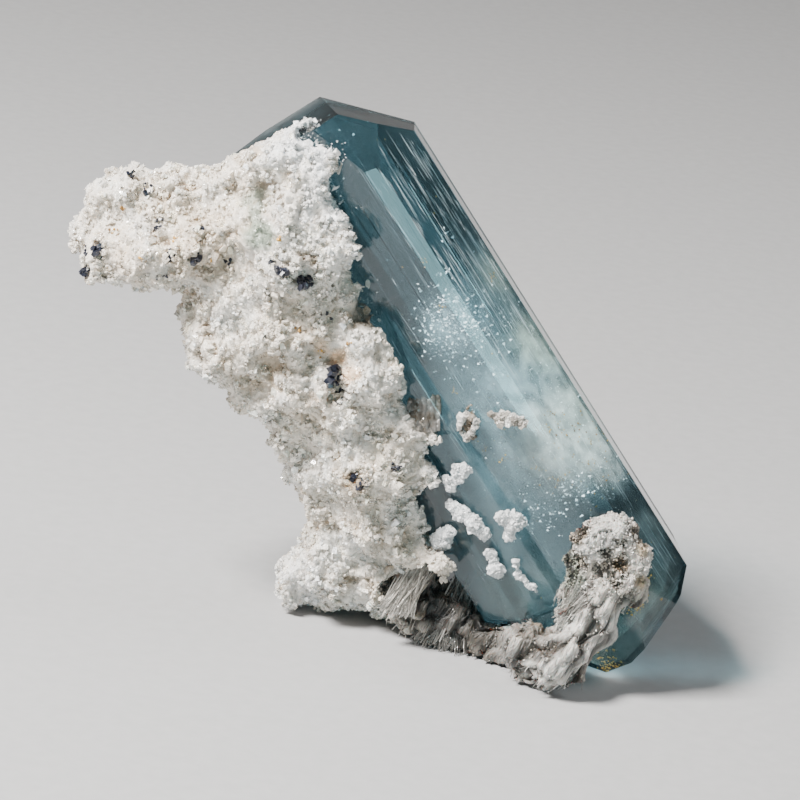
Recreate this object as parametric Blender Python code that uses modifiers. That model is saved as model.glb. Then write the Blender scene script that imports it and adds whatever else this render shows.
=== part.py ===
"""Aquamarine crystal on albite matrix, a natural hand specimen. Units are metres, +Z is up.

The specimen is laid out in its own facing frame, in millimetres: x to the right, y up the face and z
out of the face. It is then pitched and rolled on to its feet, scaled to metres and moved so that the
middle of its base is at the origin.
"""

import math

import bmesh
import bpy
from mathutils import Matrix, Vector
from mathutils.bvhtree import BVHTree

MM = 0.001
GAP = 0.3
ROOM_FACTOR = 1.7
PARTS_COLLECTION = "aquamarine_specimen"
HELPERS_COLLECTION = "cutters"

# How the facing frame stands: the face leans back by the pitch and turns in its own plane by the roll.
STAND_PITCH = math.radians(19.0)
STAND_ROLL = math.radians(7.0)
RESTING_POINT = (18.4, -37.0, 3.1)
SLAB_SIZE = 160.0

# The large crystal's c axis leans to the left in the face's plane and its top tips forward.
CRYSTAL_CENTRE = (7.7, 3.8, 0.0)
LEAN_LEFT = math.radians(32.6)
TIP_FORWARD = math.radians(13.0)
CRYSTAL_BLANK = 120.0

# Each crystal face is (azimuth, polar angle, distance): azimuth in degrees from the outward side
# towards the right side, polar angle in degrees from the top end, distance in mm from the centre.
LARGE_CRYSTAL = (
    (25.0, 90.0, 11.65),
    (-5.0, 90.0, 10.25),
    (-35.0, 90.0, 7.15),
    (-95.0, 90.0, 11.1),
    (-155.0, 90.0, 12.25),
    (175.0, 90.0, 11.0),
    (145.0, 90.0, 10.6),
    (85.0, 90.0, 11.2),
    (0.0, 0.0, 37.0),
    (90.6, 45.3, 28.6),
    (1.1, 76.1, 17.45),
    (0.0, 180.0, 41.9),
    (88.0, 155.0, 37.3),
    (88.0, 137.0, 32.9),
    (1.1, 103.9, 18.6),
    (-104.0, 136.0, 32.75),
)
SMALL_CRYSTAL = (
    (25.0, 90.0, 3.75),
    (-35.0, 90.0, 8.5),
    (-95.0, 90.0, 14.5),
    (-155.0, 90.0, 7.5),
    (145.0, 90.0, 5.0),
    (0.0, 0.0, 12.5),
    (0.0, 180.0, 31.25),
    (-95.0, 153.0, 32.8),
)
# Growth ridges stand proud of a prism face: (azimuth, face distance, sideways, width, low end, high end).
RIDGES = (
    (25.0, 11.65, 2.4, 1.5, 2.0, 27.5),
    (25.0, 11.65, 4.4, 0.9, -12.0, 19.0),
    (145.0, 10.6, -2.4, 2.2, -22.0, 15.0),
    (145.0, 10.6, 2.2, 1.4, -8.0, 26.0),
    (175.0, 11.0, 0.4, 1.6, -25.0, 20.0),
    (-155.0, 12.25, 1.4, 2.0, -14.0, 24.0),
)
RIDGE_HEIGHT = 0.25
RIDGE_ROOT = 1.0
RIDGE_TAPER = 1.5

# Lumps of the albite, placed by hand: (x, y, z, radius).
HEAD = (
    (-39.5, 21.5, 4.0, 2.0),
    (-37.0, 24.5, 5.0, 3.0),
    (-36.5, 18.0, 4.5, 4.5),
    (-33.0, 25.5, 5.5, 4.0),
    (-31.0, 18.5, 6.0, 6.0),
    (-27.0, 25.0, 6.0, 5.0),
    (-24.0, 19.0, 7.0, 6.0),
    (-20.0, 26.0, 8.0, 5.0),
    (-31.0, 22.0, 0.0, 5.5),
    (-24.5, 23.0, 0.5, 6.5),
    (-23.5, 17.0, 0.5, 5.5),
)
CRUST = (
    (-17.0, 20.5, 10.0, 5.5),
    (-16.0, 28.0, 11.0, 5.0),
    (-15.0, 32.0, 11.0, 3.4),
    (-12.3, 33.4, 13.5, 2.4),
    (-13.0, 29.5, 12.5, 4.5),
    (-10.0, 29.0, 14.0, 4.0),
    (-12.0, 23.0, 12.5, 5.5),
    (-9.5, 18.5, 12.0, 5.0),
    (-14.0, 16.0, 10.0, 6.0),
    (-7.5, 21.5, 14.0, 2.5),
    (-5.0, 18.5, 14.0, 2.0),
)
COLUMN = (
    (-20.5, 13.5, 5.0, 5.5),
    (-24.5, 10.0, 2.5, 4.0),
    (-24.0, 6.5, 1.5, 4.0),
    (-20.0, 7.5, 3.0, 6.0),
    (-13.5, 10.0, 5.5, 7.0),
    (-8.0, 14.0, 9.0, 3.5),
    (-17.0, 2.5, -0.5, 5.5),
    (-11.0, 3.5, 2.5, 7.5),
    (-4.5, 7.0, 5.5, 5.5),
    (-3.5, 3.5, 5.0, 5.5),
    (-12.5, -2.5, -2.5, 5.0),
    (-6.0, -1.0, 1.0, 7.5),
    (-10.0, -8.0, -5.0, 5.0),
    (-3.5, -8.0, -0.5, 7.0),
    (1.0, -3.5, 3.0, 4.0),
    (-8.0, -13.5, -8.0, 5.0),
    (-2.0, -14.5, -4.0, 6.0),
    (3.0, -8.5, 0.5, 3.0),
    (-19.0, 17.5, 0.0, 7.5),
    (-16.5, 10.0, -4.0, 7.5),
    (-10.0, 1.5, -6.0, 7.5),
    (-6.5, -6.5, -9.0, 7.5),
    (-4.0, -15.5, -11.0, 7.5),
    (-9.0, 9.0, -7.5, 6.0),
)
LEFT_FOOT = (
    (-9.5, -20.5, -11.5, 5.5),
    (-12.3, -22.5, -15.0, 4.3),
    (-7.0, -23.0, -13.5, 5.0),
    (-2.0, -22.0, -10.5, 5.0),
    (2.0, -18.0, -4.5, 4.0),
    (-9.0, -22.5, -15.5, 5.0),
    (-3.0, -23.0, -17.5, 5.5),
    (0.0, -25.0, -15.5, 5.0),
    (-13.0, -23.5, -12.0, 3.0),
    (5.0, -20.3, -1.5, 2.2),
)
# The thin grey plate that stands off the column over the crystal: (centre, size, turn in degrees).
PLATE = ((2.9, -2.2, 4.6), (5.0, 6.0, 1.4), 12.0)

BAND = (
    (2.5, -25.5, -9.0, 5.0),
    (7.5, -28.0, -9.0, 4.5),
    (12.5, -31.0, -7.5, 4.0),
    (16.0, -32.0, -4.5, 4.0),
    (20.0, -32.0, -1.5, 4.0),
    (19.0, -32.5, 3.5, 3.5),
    (21.0, -31.0, 5.0, 3.0),
    (16.0, -31.0, 0.5, 4.0),
    (13.0, -31.0, -15.0, 5.0),
    (20.0, -31.0, -16.5, 4.5),
)
WRAP = (
    (24.5, -28.5, 2.5, 3.2),
    (24.5, -25.0, 4.0, 3.2),
    (26.5, -22.0, 4.5, 3.4),
    (28.5, -23.0, 2.5, 3.0),
    (28.5, -19.5, 4.5, 3.0),
    (27.0, -17.0, 5.5, 3.4),
    (24.0, -17.5, 6.0, 3.4),
    (22.0, -20.5, 3.5, 2.6),
    (22.0, -24.0, 2.0, 2.8),
)
# Fans of blades: (root, first tip, last tip, number of blades).
BLADE_FANS = (
    ((4.5, -20.0, -5.0), (-2.0, -25.5, -6.0), (3.5, -26.0, -4.5), 4),
    ((9.0, -23.0, -9.0), (0.5, -30.0, -8.0), (7.0, -32.0, -7.5), 5),
    ((15.5, -28.0, -6.0), (7.5, -32.5, -6.5), (13.5, -36.0, -4.5), 5),
    ((25.5, -26.0, 3.0), (13.5, -35.5, 0.5), (22.5, -36.4, 3.0), 6),
    ((26.5, -19.5, 7.0), (19.0, -27.0, 3.5), (25.5, -29.5, 5.5), 5),
)
BLADE_WIDTH = 2.6
BLADE_THICKNESS = 1.7
BLADE_TIP_SHARE = 0.55
FAN_BULGE = 0.08

# Small clusters on the crystal's front: each is a list of (x, y, radius), seated on the face below.
ROSETTES = (
    ((5.3, -17.5, 1.6), (6.2, -16.3, 1.0)),
    ((6.7, -13.1, 1.1), (7.9, -14.0, 1.3), (9.2, -15.2, 1.4), (10.4, -16.4, 1.2)),
    ((12.8, -14.5, 1.2), (14.1, -15.0, 1.4), (15.2, -15.1, 1.0), (13.6, -16.9, 1.0)),
    ((11.5, -19.1, 1.0), (12.2, -21.1, 1.35)),
    ((14.6, -20.3, 0.75), (14.9, -21.8, 0.8), (15.8, -22.5, 0.7), (16.7, -23.2, 0.9)),
    ((6.5, -10.8, 0.9), (7.4, -9.7, 0.9), (8.2, -8.5, 0.95), (7.1, -8.2, 0.8), (5.9, -9.8, 0.8)),
)
# The pitted crust fragment on the front: (spot, size, pit, turn in degrees).
PITTED_FRAGMENT = ((8.5, -3.0), (2.4, 3.8, 1.6), (1.1, 2.2), 8.0)
LUMPY_FRAGMENT = ((11.4, -1.7, 0.75), (12.5, -2.2, 0.95), (13.7, -2.1, 1.05), (14.9, -2.7, 0.8))
PIT_DEPTH_SHARE = 0.8
FRAGMENT_CUTS = 3
LUMP_SUBDIVISIONS = 3
SEAT_DEPTH = 0.3
# Dark crystals in the albite: (x, y, radius, length, turn in degrees).
DARK_CRYSTALS = (
    (-7.6, 1.9, 0.75, 3.0, 78.0),
    (-38.3, 18.6, 0.6, 1.7, 35.0),
    (-39.4, 15.6, 0.5, 1.5, 110.0),
    (-14.8, 16.2, 0.55, 1.7, 20.0),
    (-11.1, 14.6, 0.6, 1.8, 140.0),
    (-24.8, 16.8, 0.5, 1.5, 60.0),
    (-5.0, -9.8, 0.55, 1.7, 15.0),
)
DARK_TILT = math.radians(62.0)

# Surface relief: (kind, cell size in mm, strength in mm).
MATRIX_RELIEF = (("CLOUDS", 9.0, 2.0), ("VORONOI", 4.2, -1.9), ("VORONOI", 2.1, -1.0))
CLEAVELANDITE_RELIEF = (("VORONOI", 2.6, -0.8),)
ROSETTE_RELIEF = (("VORONOI", 1.3, -0.45),)
MATRIX_VOXEL = 0.75
CLEAVELANDITE_VOXEL = 0.5
ROSETTE_VOXEL = 0.3
MATRIX_TRIANGLES = 5600
CLEAVELANDITE_TRIANGLES = 2300
ROSETTE_TRIANGLES = 150

AQUAMARINE = ((0.33, 0.55, 0.60, 1.0), 0.06)
ALBITE = ((0.86, 0.84, 0.80, 1.0), 0.6)
BLADED_ALBITE = ((0.78, 0.77, 0.74, 1.0), 0.55)
CRUST_STAIN = ((0.62, 0.57, 0.49, 1.0), 0.7)
DARK_MINERAL = ((0.05, 0.06, 0.09, 1.0), 0.3)


def clear_scene():
    for obj in list(bpy.data.objects):
        bpy.data.objects.remove(obj, do_unlink=True)


def new_collection(name):
    collection = bpy.data.collections.new(name)
    bpy.context.scene.collection.children.link(collection)
    return collection


def object_from_bmesh(name, bm, collection):
    mesh = bpy.data.meshes.new(name)
    bm.to_mesh(mesh)
    bm.free()
    obj = bpy.data.objects.new(name, mesh)
    collection.objects.link(obj)
    return obj


def new_material(name, finish):
    colour, roughness = finish
    material = bpy.data.materials.new(name)
    material.use_nodes = True
    shader = material.node_tree.nodes["Principled BSDF"]
    shader.inputs["Base Color"].default_value = colour
    shader.inputs["Roughness"].default_value = roughness
    shader.inputs["Metallic"].default_value = 0.0
    return material


def apply_modifiers(obj):
    graph = bpy.context.evaluated_depsgraph_get()
    shaped = bpy.data.meshes.new_from_object(obj.evaluated_get(graph))
    obj.modifiers.clear()
    obj.data = shaped


def add_remesh(obj, voxel):
    modifier = obj.modifiers.new("even_out", "REMESH")
    modifier.mode = "VOXEL"
    modifier.voxel_size = voxel


def add_relief(obj, relief):
    """Displaces along the normals by each texture in turn, measured in the facing frame."""
    for kind, cell, strength in relief:
        texture = bpy.data.textures.new(f"{obj.name}_relief", kind)
        texture.noise_scale = cell
        modifier = obj.modifiers.new("relief", "DISPLACE")
        modifier.texture = texture
        modifier.texture_coords = "LOCAL"
        modifier.strength = strength


def reduce_to(obj, triangles):
    obj.data.calc_loop_triangles()
    modifier = obj.modifiers.new("facets", "DECIMATE")
    modifier.ratio = min(1.0, triangles / len(obj.data.loop_triangles))
    apply_modifiers(obj)


def keep_largest_body(obj):
    """Deletes every loose piece except the one with the most faces."""
    bm = bmesh.new()
    bm.from_mesh(obj.data)
    unseen = set(bm.faces)
    largest = set()
    while unseen:
        body = {unseen.pop()}
        edge_of_body = list(body)
        while edge_of_body:
            face = edge_of_body.pop()
            near = {other for edge in face.edges for other in edge.link_faces} & unseen
            unseen -= near
            body |= near
            edge_of_body.extend(near)
        if len(body) > len(largest):
            largest = body
    doomed = [face for face in bm.faces if face not in largest]
    bmesh.ops.delete(bm, geom=doomed, context="FACES")
    bm.to_mesh(obj.data)
    bm.free()


def boolean(obj, other, operation):
    modifier = obj.modifiers.new(operation.lower(), "BOOLEAN")
    modifier.operation = operation
    modifier.solver = "EXACT"
    modifier.object = other
    apply_modifiers(obj)


def cut(obj, cutter):
    boolean(obj, cutter, "DIFFERENCE")
    keep_largest_body(obj)


def as_cutter(obj):
    obj.hide_render = True
    obj.display_type = "WIRE"
    return obj


def grown_copy(obj, helpers):
    """A cutter a gap larger than the object all round, with about as many facets."""
    cutter = bpy.data.objects.new(f"{obj.name}_room", obj.data.copy())
    helpers.objects.link(cutter)
    modifier = cutter.modifiers.new("gap", "DISPLACE")
    modifier.mid_level = 0.0
    modifier.strength = GAP * ROOM_FACTOR
    add_remesh(cutter, CLEAVELANDITE_VOXEL)
    apply_modifiers(cutter)
    obj.data.calc_loop_triangles()
    reduce_to(cutter, len(obj.data.loop_triangles))
    return as_cutter(cutter)


def crystal_frame():
    """Columns are outward, across and along the c axis, with the crystal's centre as origin."""
    along = Vector(
        (
            -math.sin(LEAN_LEFT) * math.cos(TIP_FORWARD),
            math.cos(LEAN_LEFT) * math.cos(TIP_FORWARD),
            math.sin(TIP_FORWARD),
        )
    )
    across = Vector((math.cos(LEAN_LEFT), math.sin(LEAN_LEFT), 0.0))
    outward = across.cross(along)
    turn = Matrix((outward, across, along)).transposed().to_4x4()
    return Matrix.Translation(CRYSTAL_CENTRE) @ turn


def face_normal(azimuth, polar):
    a, p = math.radians(azimuth), math.radians(polar)
    return Vector((math.sin(p) * math.cos(a), math.sin(p) * math.sin(a), math.cos(p)))


def add_cut_crystal(bm, faces, margin):
    """A block cut down by each crystal face, moved out by the margin."""
    bmesh.ops.create_cube(bm, size=CRYSTAL_BLANK)
    for azimuth, polar, distance in faces:
        normal = face_normal(azimuth, polar)
        found = bmesh.ops.bisect_plane(
            bm,
            geom=bm.verts[:] + bm.edges[:] + bm.faces[:],
            plane_co=normal * (distance + margin),
            plane_no=normal,
            clear_outer=True,
        )
        rim = [item for item in found["geom_cut"] if isinstance(item, bmesh.types.BMEdge)]
        bmesh.ops.edgeloop_fill(bm, edges=rim)
    bmesh.ops.recalc_face_normals(bm, faces=bm.faces[:])


def crystal_solid(name, faces, margin, collection):
    bm = bmesh.new()
    add_cut_crystal(bm, faces, margin)
    bm.transform(crystal_frame())
    return object_from_bmesh(name, bm, collection)


def ridge_solid(name, ridge, margin, collection):
    """A long low bar on a prism face, narrower at the top and bevelled at both ends."""
    azimuth, distance, sideways, width, low, high = ridge
    bm = bmesh.new()
    verts = bmesh.ops.create_cube(bm, size=1.0)["verts"]
    depth = RIDGE_ROOT + RIDGE_HEIGHT + margin
    for vert in verts:
        proud = vert.co.x > 0
        end = (high - low) / 2 + margin - (RIDGE_TAPER if proud else 0.0)
        side = width / 2 + margin - (RIDGE_HEIGHT if proud else 0.0) / 2
        vert.co = Vector(
            (
                distance - RIDGE_ROOT + (depth if proud else 0.0),
                math.copysign(side, vert.co.y) + sideways,
                math.copysign(end, vert.co.z) + (high + low) / 2,
            )
        )
    bm.transform(crystal_frame() @ Matrix.Rotation(math.radians(azimuth), 4, "Z"))
    return object_from_bmesh(name, bm, collection)


def grown_together(name, margin, collection, helpers):
    """The large crystal with the small parallel one and the growth ridges, as one solid."""
    crystal = crystal_solid(name, LARGE_CRYSTAL, margin, collection)
    small = crystal_solid(f"{name}_small", SMALL_CRYSTAL, margin, helpers)
    boolean(crystal, as_cutter(small), "UNION")
    for number, ridge in enumerate(RIDGES, start=1):
        bar = ridge_solid(f"{name}_ridge_{number}", ridge, margin, helpers)
        boolean(crystal, as_cutter(bar), "UNION")
    return crystal


def add_lumps(bm, lumps):
    for x, y, z, radius in lumps:
        place = Matrix.Translation((x, y, z))
        bmesh.ops.create_icosphere(
            bm, subdivisions=LUMP_SUBDIVISIONS, radius=radius, matrix=place
        )


def add_plate(bm, plate):
    centre, size, turn = plate
    spin = Matrix.Rotation(math.radians(turn), 4, "Z")
    shape = Matrix.Diagonal((*size, 1.0))
    bmesh.ops.create_cube(bm, size=1.0, matrix=Matrix.Translation(centre) @ spin @ shape)


def add_blade(bm, root, tip):
    """A flat bar from root to tip that narrows towards the tip, its flat side facing outward."""
    along = tip - root
    frame = along.to_track_quat("Z", "Y").to_matrix().to_4x4()
    verts = bmesh.ops.create_cube(bm, size=1.0)["verts"]
    for vert in verts:
        share = BLADE_TIP_SHARE if vert.co.z > 0 else 1.0
        shaped = Vector(
            (
                vert.co.x * BLADE_WIDTH * share,
                vert.co.y * BLADE_THICKNESS * share,
                (vert.co.z + 0.5) * along.length,
            )
        )
        vert.co = frame @ shaped + root


def add_fan(bm, fan):
    root, first, last, count = Vector(fan[0]), Vector(fan[1]), Vector(fan[2]), fan[3]
    for number in range(count):
        share = number / (count - 1)
        out = math.sin(math.pi * share)
        tip = first.lerp(last, share) + (first.lerp(last, 0.5) - root) * FAN_BULGE * out
        add_blade(bm, root, tip)


def roughened(obj, voxel, relief, triangles):
    """Fuses the blocked-out form, gives it its relief and reduces it to facets."""
    add_remesh(obj, voxel)
    add_relief(obj, relief)
    add_remesh(obj, voxel)
    apply_modifiers(obj)
    keep_largest_body(obj)
    reduce_to(obj, triangles)


def build_matrix(collection):
    bm = bmesh.new()
    for lumps in (HEAD, CRUST, COLUMN, LEFT_FOOT):
        add_lumps(bm, lumps)
    add_plate(bm, PLATE)
    obj = object_from_bmesh("albite_matrix", bm, collection)
    roughened(obj, MATRIX_VOXEL, MATRIX_RELIEF, MATRIX_TRIANGLES)
    return obj


def build_cleavelandite(collection):
    bm = bmesh.new()
    for lumps in (BAND, WRAP):
        add_lumps(bm, lumps)
    for fan in BLADE_FANS:
        add_fan(bm, fan)
    obj = object_from_bmesh("cleavelandite", bm, collection)
    roughened(obj, CLEAVELANDITE_VOXEL, CLEAVELANDITE_RELIEF, CLEAVELANDITE_TRIANGLES)
    return obj


def surface_below(tree, x, y):
    """The outermost point of the surface at a place on the face, and the normal there."""
    hit = tree.ray_cast(Vector((x, y, CRYSTAL_BLANK)), Vector((0.0, 0.0, -1.0)))
    return hit[0], hit[1]


def tree_of(obj):
    bm = bmesh.new()
    bm.from_mesh(obj.data)
    tree = BVHTree.FromBMesh(bm)
    bm.free()
    return tree


def build_cluster(name, tree, lumps, collection):
    """Small lumps fused where they sit on the face."""
    bm = bmesh.new()
    for x, y, radius in lumps:
        seat, _ = surface_below(tree, x, y)
        add_lumps(bm, [(x, y, seat.z + radius * SEAT_DEPTH, radius)])
    obj = object_from_bmesh(name, bm, collection)
    roughened(obj, ROSETTE_VOXEL, ROSETTE_RELIEF, ROSETTE_TRIANGLES)
    return obj


def build_rosettes(tree, collection):
    named = enumerate(ROSETTES, start=1)
    return [build_cluster(f"albite_rosette_{n}", tree, lumps, collection) for n, lumps in named]


def build_pitted_fragment(tree, collection, helpers):
    """A small block of crust on the face with a pit in its middle."""
    spot, size, pit, turn = PITTED_FRAGMENT
    seat, normal = surface_below(tree, *spot)
    lie = normal.to_track_quat("Z", "Y").to_matrix().to_4x4()
    place = Matrix.Translation(seat) @ lie @ Matrix.Rotation(math.radians(turn), 4, "Z")
    bm = bmesh.new()
    bmesh.ops.create_cube(bm, size=1.0, matrix=place @ Matrix.Diagonal((*size, 1.0)))
    bmesh.ops.subdivide_edges(bm, edges=bm.edges[:], cuts=FRAGMENT_CUTS, use_grid_fill=True)
    obj = object_from_bmesh("crust_fragment_1", bm, collection)
    add_relief(obj, ROSETTE_RELIEF)
    apply_modifiers(obj)
    hollow = bmesh.new()
    up = Matrix.Translation((0.0, 0.0, size[2] / 2))
    shape = Matrix.Diagonal((*pit, size[2] * PIT_DEPTH_SHARE, 1.0))
    bmesh.ops.create_cube(hollow, size=1.0, matrix=place @ up @ shape)
    cut(obj, as_cutter(object_from_bmesh("crust_fragment_pit", hollow, helpers)))
    return obj


def dark_prism(name, seat, radius, length, turn, margin, collection):
    """A six-sided prism lying half in the surface."""
    lie = Matrix.Rotation(math.radians(turn), 4, "Z") @ Matrix.Rotation(DARK_TILT, 4, "Y")
    bm = bmesh.new()
    bmesh.ops.create_cone(
        bm,
        cap_ends=True,
        segments=6,
        radius1=radius + margin,
        radius2=radius + margin,
        depth=length + 2 * margin,
        matrix=Matrix.Translation(seat) @ lie,
    )
    return object_from_bmesh(name, bm, collection)


def build_dark_crystals(matrix, collection, helpers):
    """Sets each dark crystal in a socket of the matrix, a gap clear of it."""
    tree = tree_of(matrix)
    crystals = []
    for number, (x, y, radius, length, turn) in enumerate(DARK_CRYSTALS, start=1):
        seat, _ = surface_below(tree, x, y)
        name = f"dark_crystal_{number}"
        room = dark_prism(f"{name}_room", seat, radius, length, turn, GAP, helpers)
        cut(matrix, as_cutter(room))
        crystals.append(dark_prism(name, seat, radius, length, turn, 0.0, collection))
    return crystals


def stand_matrix():
    """Turns the facing frame into the standing frame: the roll in the face's plane, then the pitch."""
    sp, cp = math.sin(STAND_PITCH), math.cos(STAND_PITCH)
    sr, cr = math.sin(STAND_ROLL), math.cos(STAND_ROLL)
    return Matrix(((cr, -sr, 0.0), (sp * sr, sp * cr, -cp), (sr * cp, cr * cp, sp))).to_4x4()


def floor_slab(helpers):
    """A block whose top is the resting plane."""
    stand = stand_matrix()
    level = (stand @ Vector(RESTING_POINT)).z
    bm = bmesh.new()
    centre = Matrix.Translation((0.0, 0.0, level - SLAB_SIZE / 2))
    bmesh.ops.create_cube(bm, size=SLAB_SIZE, matrix=centre)
    bm.transform(stand.inverted())
    return as_cutter(object_from_bmesh("resting_plane", bm, helpers))


def stand_up(parts):
    """Stands every part on the resting plane, in metres, with the base's middle at the origin."""
    turned = Matrix.Scale(MM, 4) @ stand_matrix()
    for part in parts:
        part.data.transform(turned)
    corners = [vert.co for part in parts for vert in part.data.vertices]
    low = Vector([min(co[axis] for co in corners) for axis in range(3)])
    high = Vector([max(co[axis] for co in corners) for axis in range(3)])
    middle = Matrix.Translation((-(low.x + high.x) / 2, -(low.y + high.y) / 2, -low.z))
    for part in parts:
        part.data.transform(middle)
        part.data.shade_flat()


def finish(parts, material):
    for part in parts:
        part.data.materials.clear()
        part.data.materials.append(material)


def main():
    clear_scene()
    parts = new_collection(PARTS_COLLECTION)
    helpers = new_collection(HELPERS_COLLECTION)
    crystal = grown_together("aquamarine_crystal", 0.0, parts, helpers)
    crystal_room = as_cutter(grown_together("crystal_room", GAP, helpers, helpers))
    crystal_tree = tree_of(crystal)
    slab = floor_slab(helpers)

    matrix = build_matrix(parts)
    cleavelandite = build_cleavelandite(parts)
    rosettes = build_rosettes(crystal_tree, parts)
    fragments = [
        build_pitted_fragment(crystal_tree, parts, helpers),
        build_cluster("crust_fragment_2", crystal_tree, LUMPY_FRAGMENT, parts),
    ]
    for part in (matrix, cleavelandite):
        cut(part, slab)
    for part in (matrix, cleavelandite, *rosettes, *fragments):
        cut(part, crystal_room)
    for part in (cleavelandite, *rosettes):
        cut(matrix, grown_copy(part, helpers))
    dark = build_dark_crystals(matrix, parts, helpers)

    finish([crystal], new_material("aquamarine", AQUAMARINE))
    finish([matrix], new_material("albite", ALBITE))
    finish([cleavelandite], new_material("bladed_albite", BLADED_ALBITE))
    finish(rosettes, new_material("rosette_albite", ALBITE))
    finish(fragments, new_material("stained_crust", CRUST_STAIN))
    finish(dark, new_material("dark_mineral", DARK_MINERAL))
    stand_up([crystal, matrix, cleavelandite, *rosettes, *fragments, *dark])


main()
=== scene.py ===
"""Aquamarine crystal on sugary albite with bladed albite at its foot: fine surfaces and finishes.

Shapes are worked out in millimetres in the specimen's own facing frame (x to the right, y up the
face, z out of the face) or in the crystal's frame (outward, across, along its c axis), and are then
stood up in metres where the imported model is.
"""

import math

import bmesh
import bpy
import numpy as np
from mathutils import Matrix, Vector
from mathutils.bvhtree import BVHTree


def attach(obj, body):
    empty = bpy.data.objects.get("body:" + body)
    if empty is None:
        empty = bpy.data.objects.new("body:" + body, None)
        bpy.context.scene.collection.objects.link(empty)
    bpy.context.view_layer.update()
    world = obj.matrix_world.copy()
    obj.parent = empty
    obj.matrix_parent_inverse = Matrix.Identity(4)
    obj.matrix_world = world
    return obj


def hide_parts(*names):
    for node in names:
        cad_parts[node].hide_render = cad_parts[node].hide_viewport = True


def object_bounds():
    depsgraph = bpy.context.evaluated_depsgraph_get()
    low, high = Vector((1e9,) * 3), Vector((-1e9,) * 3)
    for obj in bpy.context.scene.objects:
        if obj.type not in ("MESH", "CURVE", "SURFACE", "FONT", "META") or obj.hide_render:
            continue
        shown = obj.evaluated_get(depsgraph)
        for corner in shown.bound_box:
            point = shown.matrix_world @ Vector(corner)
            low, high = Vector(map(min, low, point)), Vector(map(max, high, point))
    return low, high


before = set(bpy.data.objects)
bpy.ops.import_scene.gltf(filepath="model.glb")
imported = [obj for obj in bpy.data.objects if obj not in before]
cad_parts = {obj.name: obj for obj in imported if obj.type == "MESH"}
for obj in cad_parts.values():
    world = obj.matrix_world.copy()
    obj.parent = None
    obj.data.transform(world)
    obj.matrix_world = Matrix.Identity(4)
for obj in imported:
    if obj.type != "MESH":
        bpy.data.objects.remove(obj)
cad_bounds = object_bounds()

MM = 0.001
SEED = 20
BOX_LOW, BOX_HIGH = (np.array(corner) for corner in cad_bounds)

# How the facing frame stands, and how the crystal lies in it.
STAND_PITCH, STAND_ROLL = math.radians(19.0), math.radians(7.0)
LEAN_LEFT, TIP_FORWARD = math.radians(32.6), math.radians(13.0)
CAMERA_DISTANCE, CAMERA_LENS, CAMERA_SENSOR = 500.0, 180.0, 36.0
PIXELS_PER_MM, FRAME_MIDDLE = 8.0, 400.0

# Crystal faces: (azimuth and polar angle of the normal in degrees, distance in mm from the centre).
TOP_FACE = (0, 0, 37.0)
RIGHT_FACE = (85, 90, 11.2)
FRONT_STRIP = (-5, 90, 10.25)
LARGE_PRISM = (
    (-155, 90, 12.25), (-95, 90, 11.1), (-35, 90, 7.15), FRONT_STRIP, (25, 90, 11.65), RIGHT_FACE,
    (145, 90, 10.6), (175, 90, 11.0),
)
LARGE_ENDS = (
    TOP_FACE, (90.6, 45.3, 28.6), (1.1, 76.1, 17.45), (0, 180, 41.9), (88, 155, 37.3),
    (88, 137, 32.9), (1.1, 103.9, 18.6), (-104, 136, 32.75),
)
SMALL_PRISM = (
    (-155, 90, 7.5), (-95, 90, 14.5), (-35, 90, 8.5), (25, 90, 3.75), (145, 90, 5.0),
)
SMALL_ENDS = (
    (0, 0, 12.5), (-35, 80, 9.21), (-95, 75, 13.96), (0, 180, 31.25), (-95, 153, 32.8),
)
# Growth ridges on the prism faces: (azimuth, sideways, width, low end, high end).
RIDGES = (
    (25, 2.4, 1.5, 2.0, 27.5), (25, 4.4, 0.9, -12.0, 19.0), (145, -2.4, 2.2, -22.0, 15.0),
    (145, 2.2, 1.4, -8.0, 26.0), (175, 0.4, 1.6, -25.0, 20.0), (-155, 1.4, 2.0, -14.0, 24.0),
)
RIDGE_HEIGHT, RIDGE_TAPER = 0.07, 1.5
# How deeply each prism face is striated, by azimuth, as a share of the deepest.
STRIATION = {25: 1.0, 85: 1.0, -5: 0.05, -35: 0.5}
STRIATION_ELSEWHERE, STRIATION_DEPTH = 0.2, 0.01
# Sizes across and along a face of its lines, its terraces and its calmer patches.
LINE_SIZE, TERRACE_SIZE, CALM_SIZE = (0.24, 13.0), (1.3, 26.0), (3.0, 9.0)
BACK_FROST = 0.38
SHARP_ANGLE = math.radians(20.0)
PRISM_STEP, HAZE_STEP, PRISM_ROWS = 0.13, 0.6, 70
EDGE_CHAMFER, END_OVERRUN = 0.09, 3.0


# ---- frames


def stand_axes():
    """Columns are the facing frame's axes in the standing frame: rolled, then pitched back."""
    sp, cp = math.sin(STAND_PITCH), math.cos(STAND_PITCH)
    sr, cr = math.sin(STAND_ROLL), math.cos(STAND_ROLL)
    return np.array(((cr, -sr, 0.0), (sp * sr, sp * cr, -cp), (sr * cp, cr * cp, sp)))


def crystal_axes():
    """Columns are the crystal's outward, across and along directions in the facing frame."""
    left, up, flat = math.sin(LEAN_LEFT), math.cos(LEAN_LEFT), math.cos(TIP_FORWARD)
    along = np.array((-left * flat, up * flat, math.sin(TIP_FORWARD)))
    across = np.array((up, left, 0.0))
    return np.column_stack((np.cross(across, along), across, along))


def face_normal(azimuth, polar):
    """A face's normal in the crystal's frame, from its angles in degrees."""
    a, p = math.radians(azimuth), math.radians(polar)
    return np.array((math.sin(p) * math.cos(a), math.sin(p) * math.sin(a), math.cos(p)))


def mesh_points(obj, what="co"):
    """The places of a mesh's points, or their normals, as rows."""
    values = np.empty(len(obj.data.vertices) * 3, np.float32)
    obj.data.vertices.foreach_get(what, values)
    return values.reshape(-1, 3).astype(float)


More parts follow.
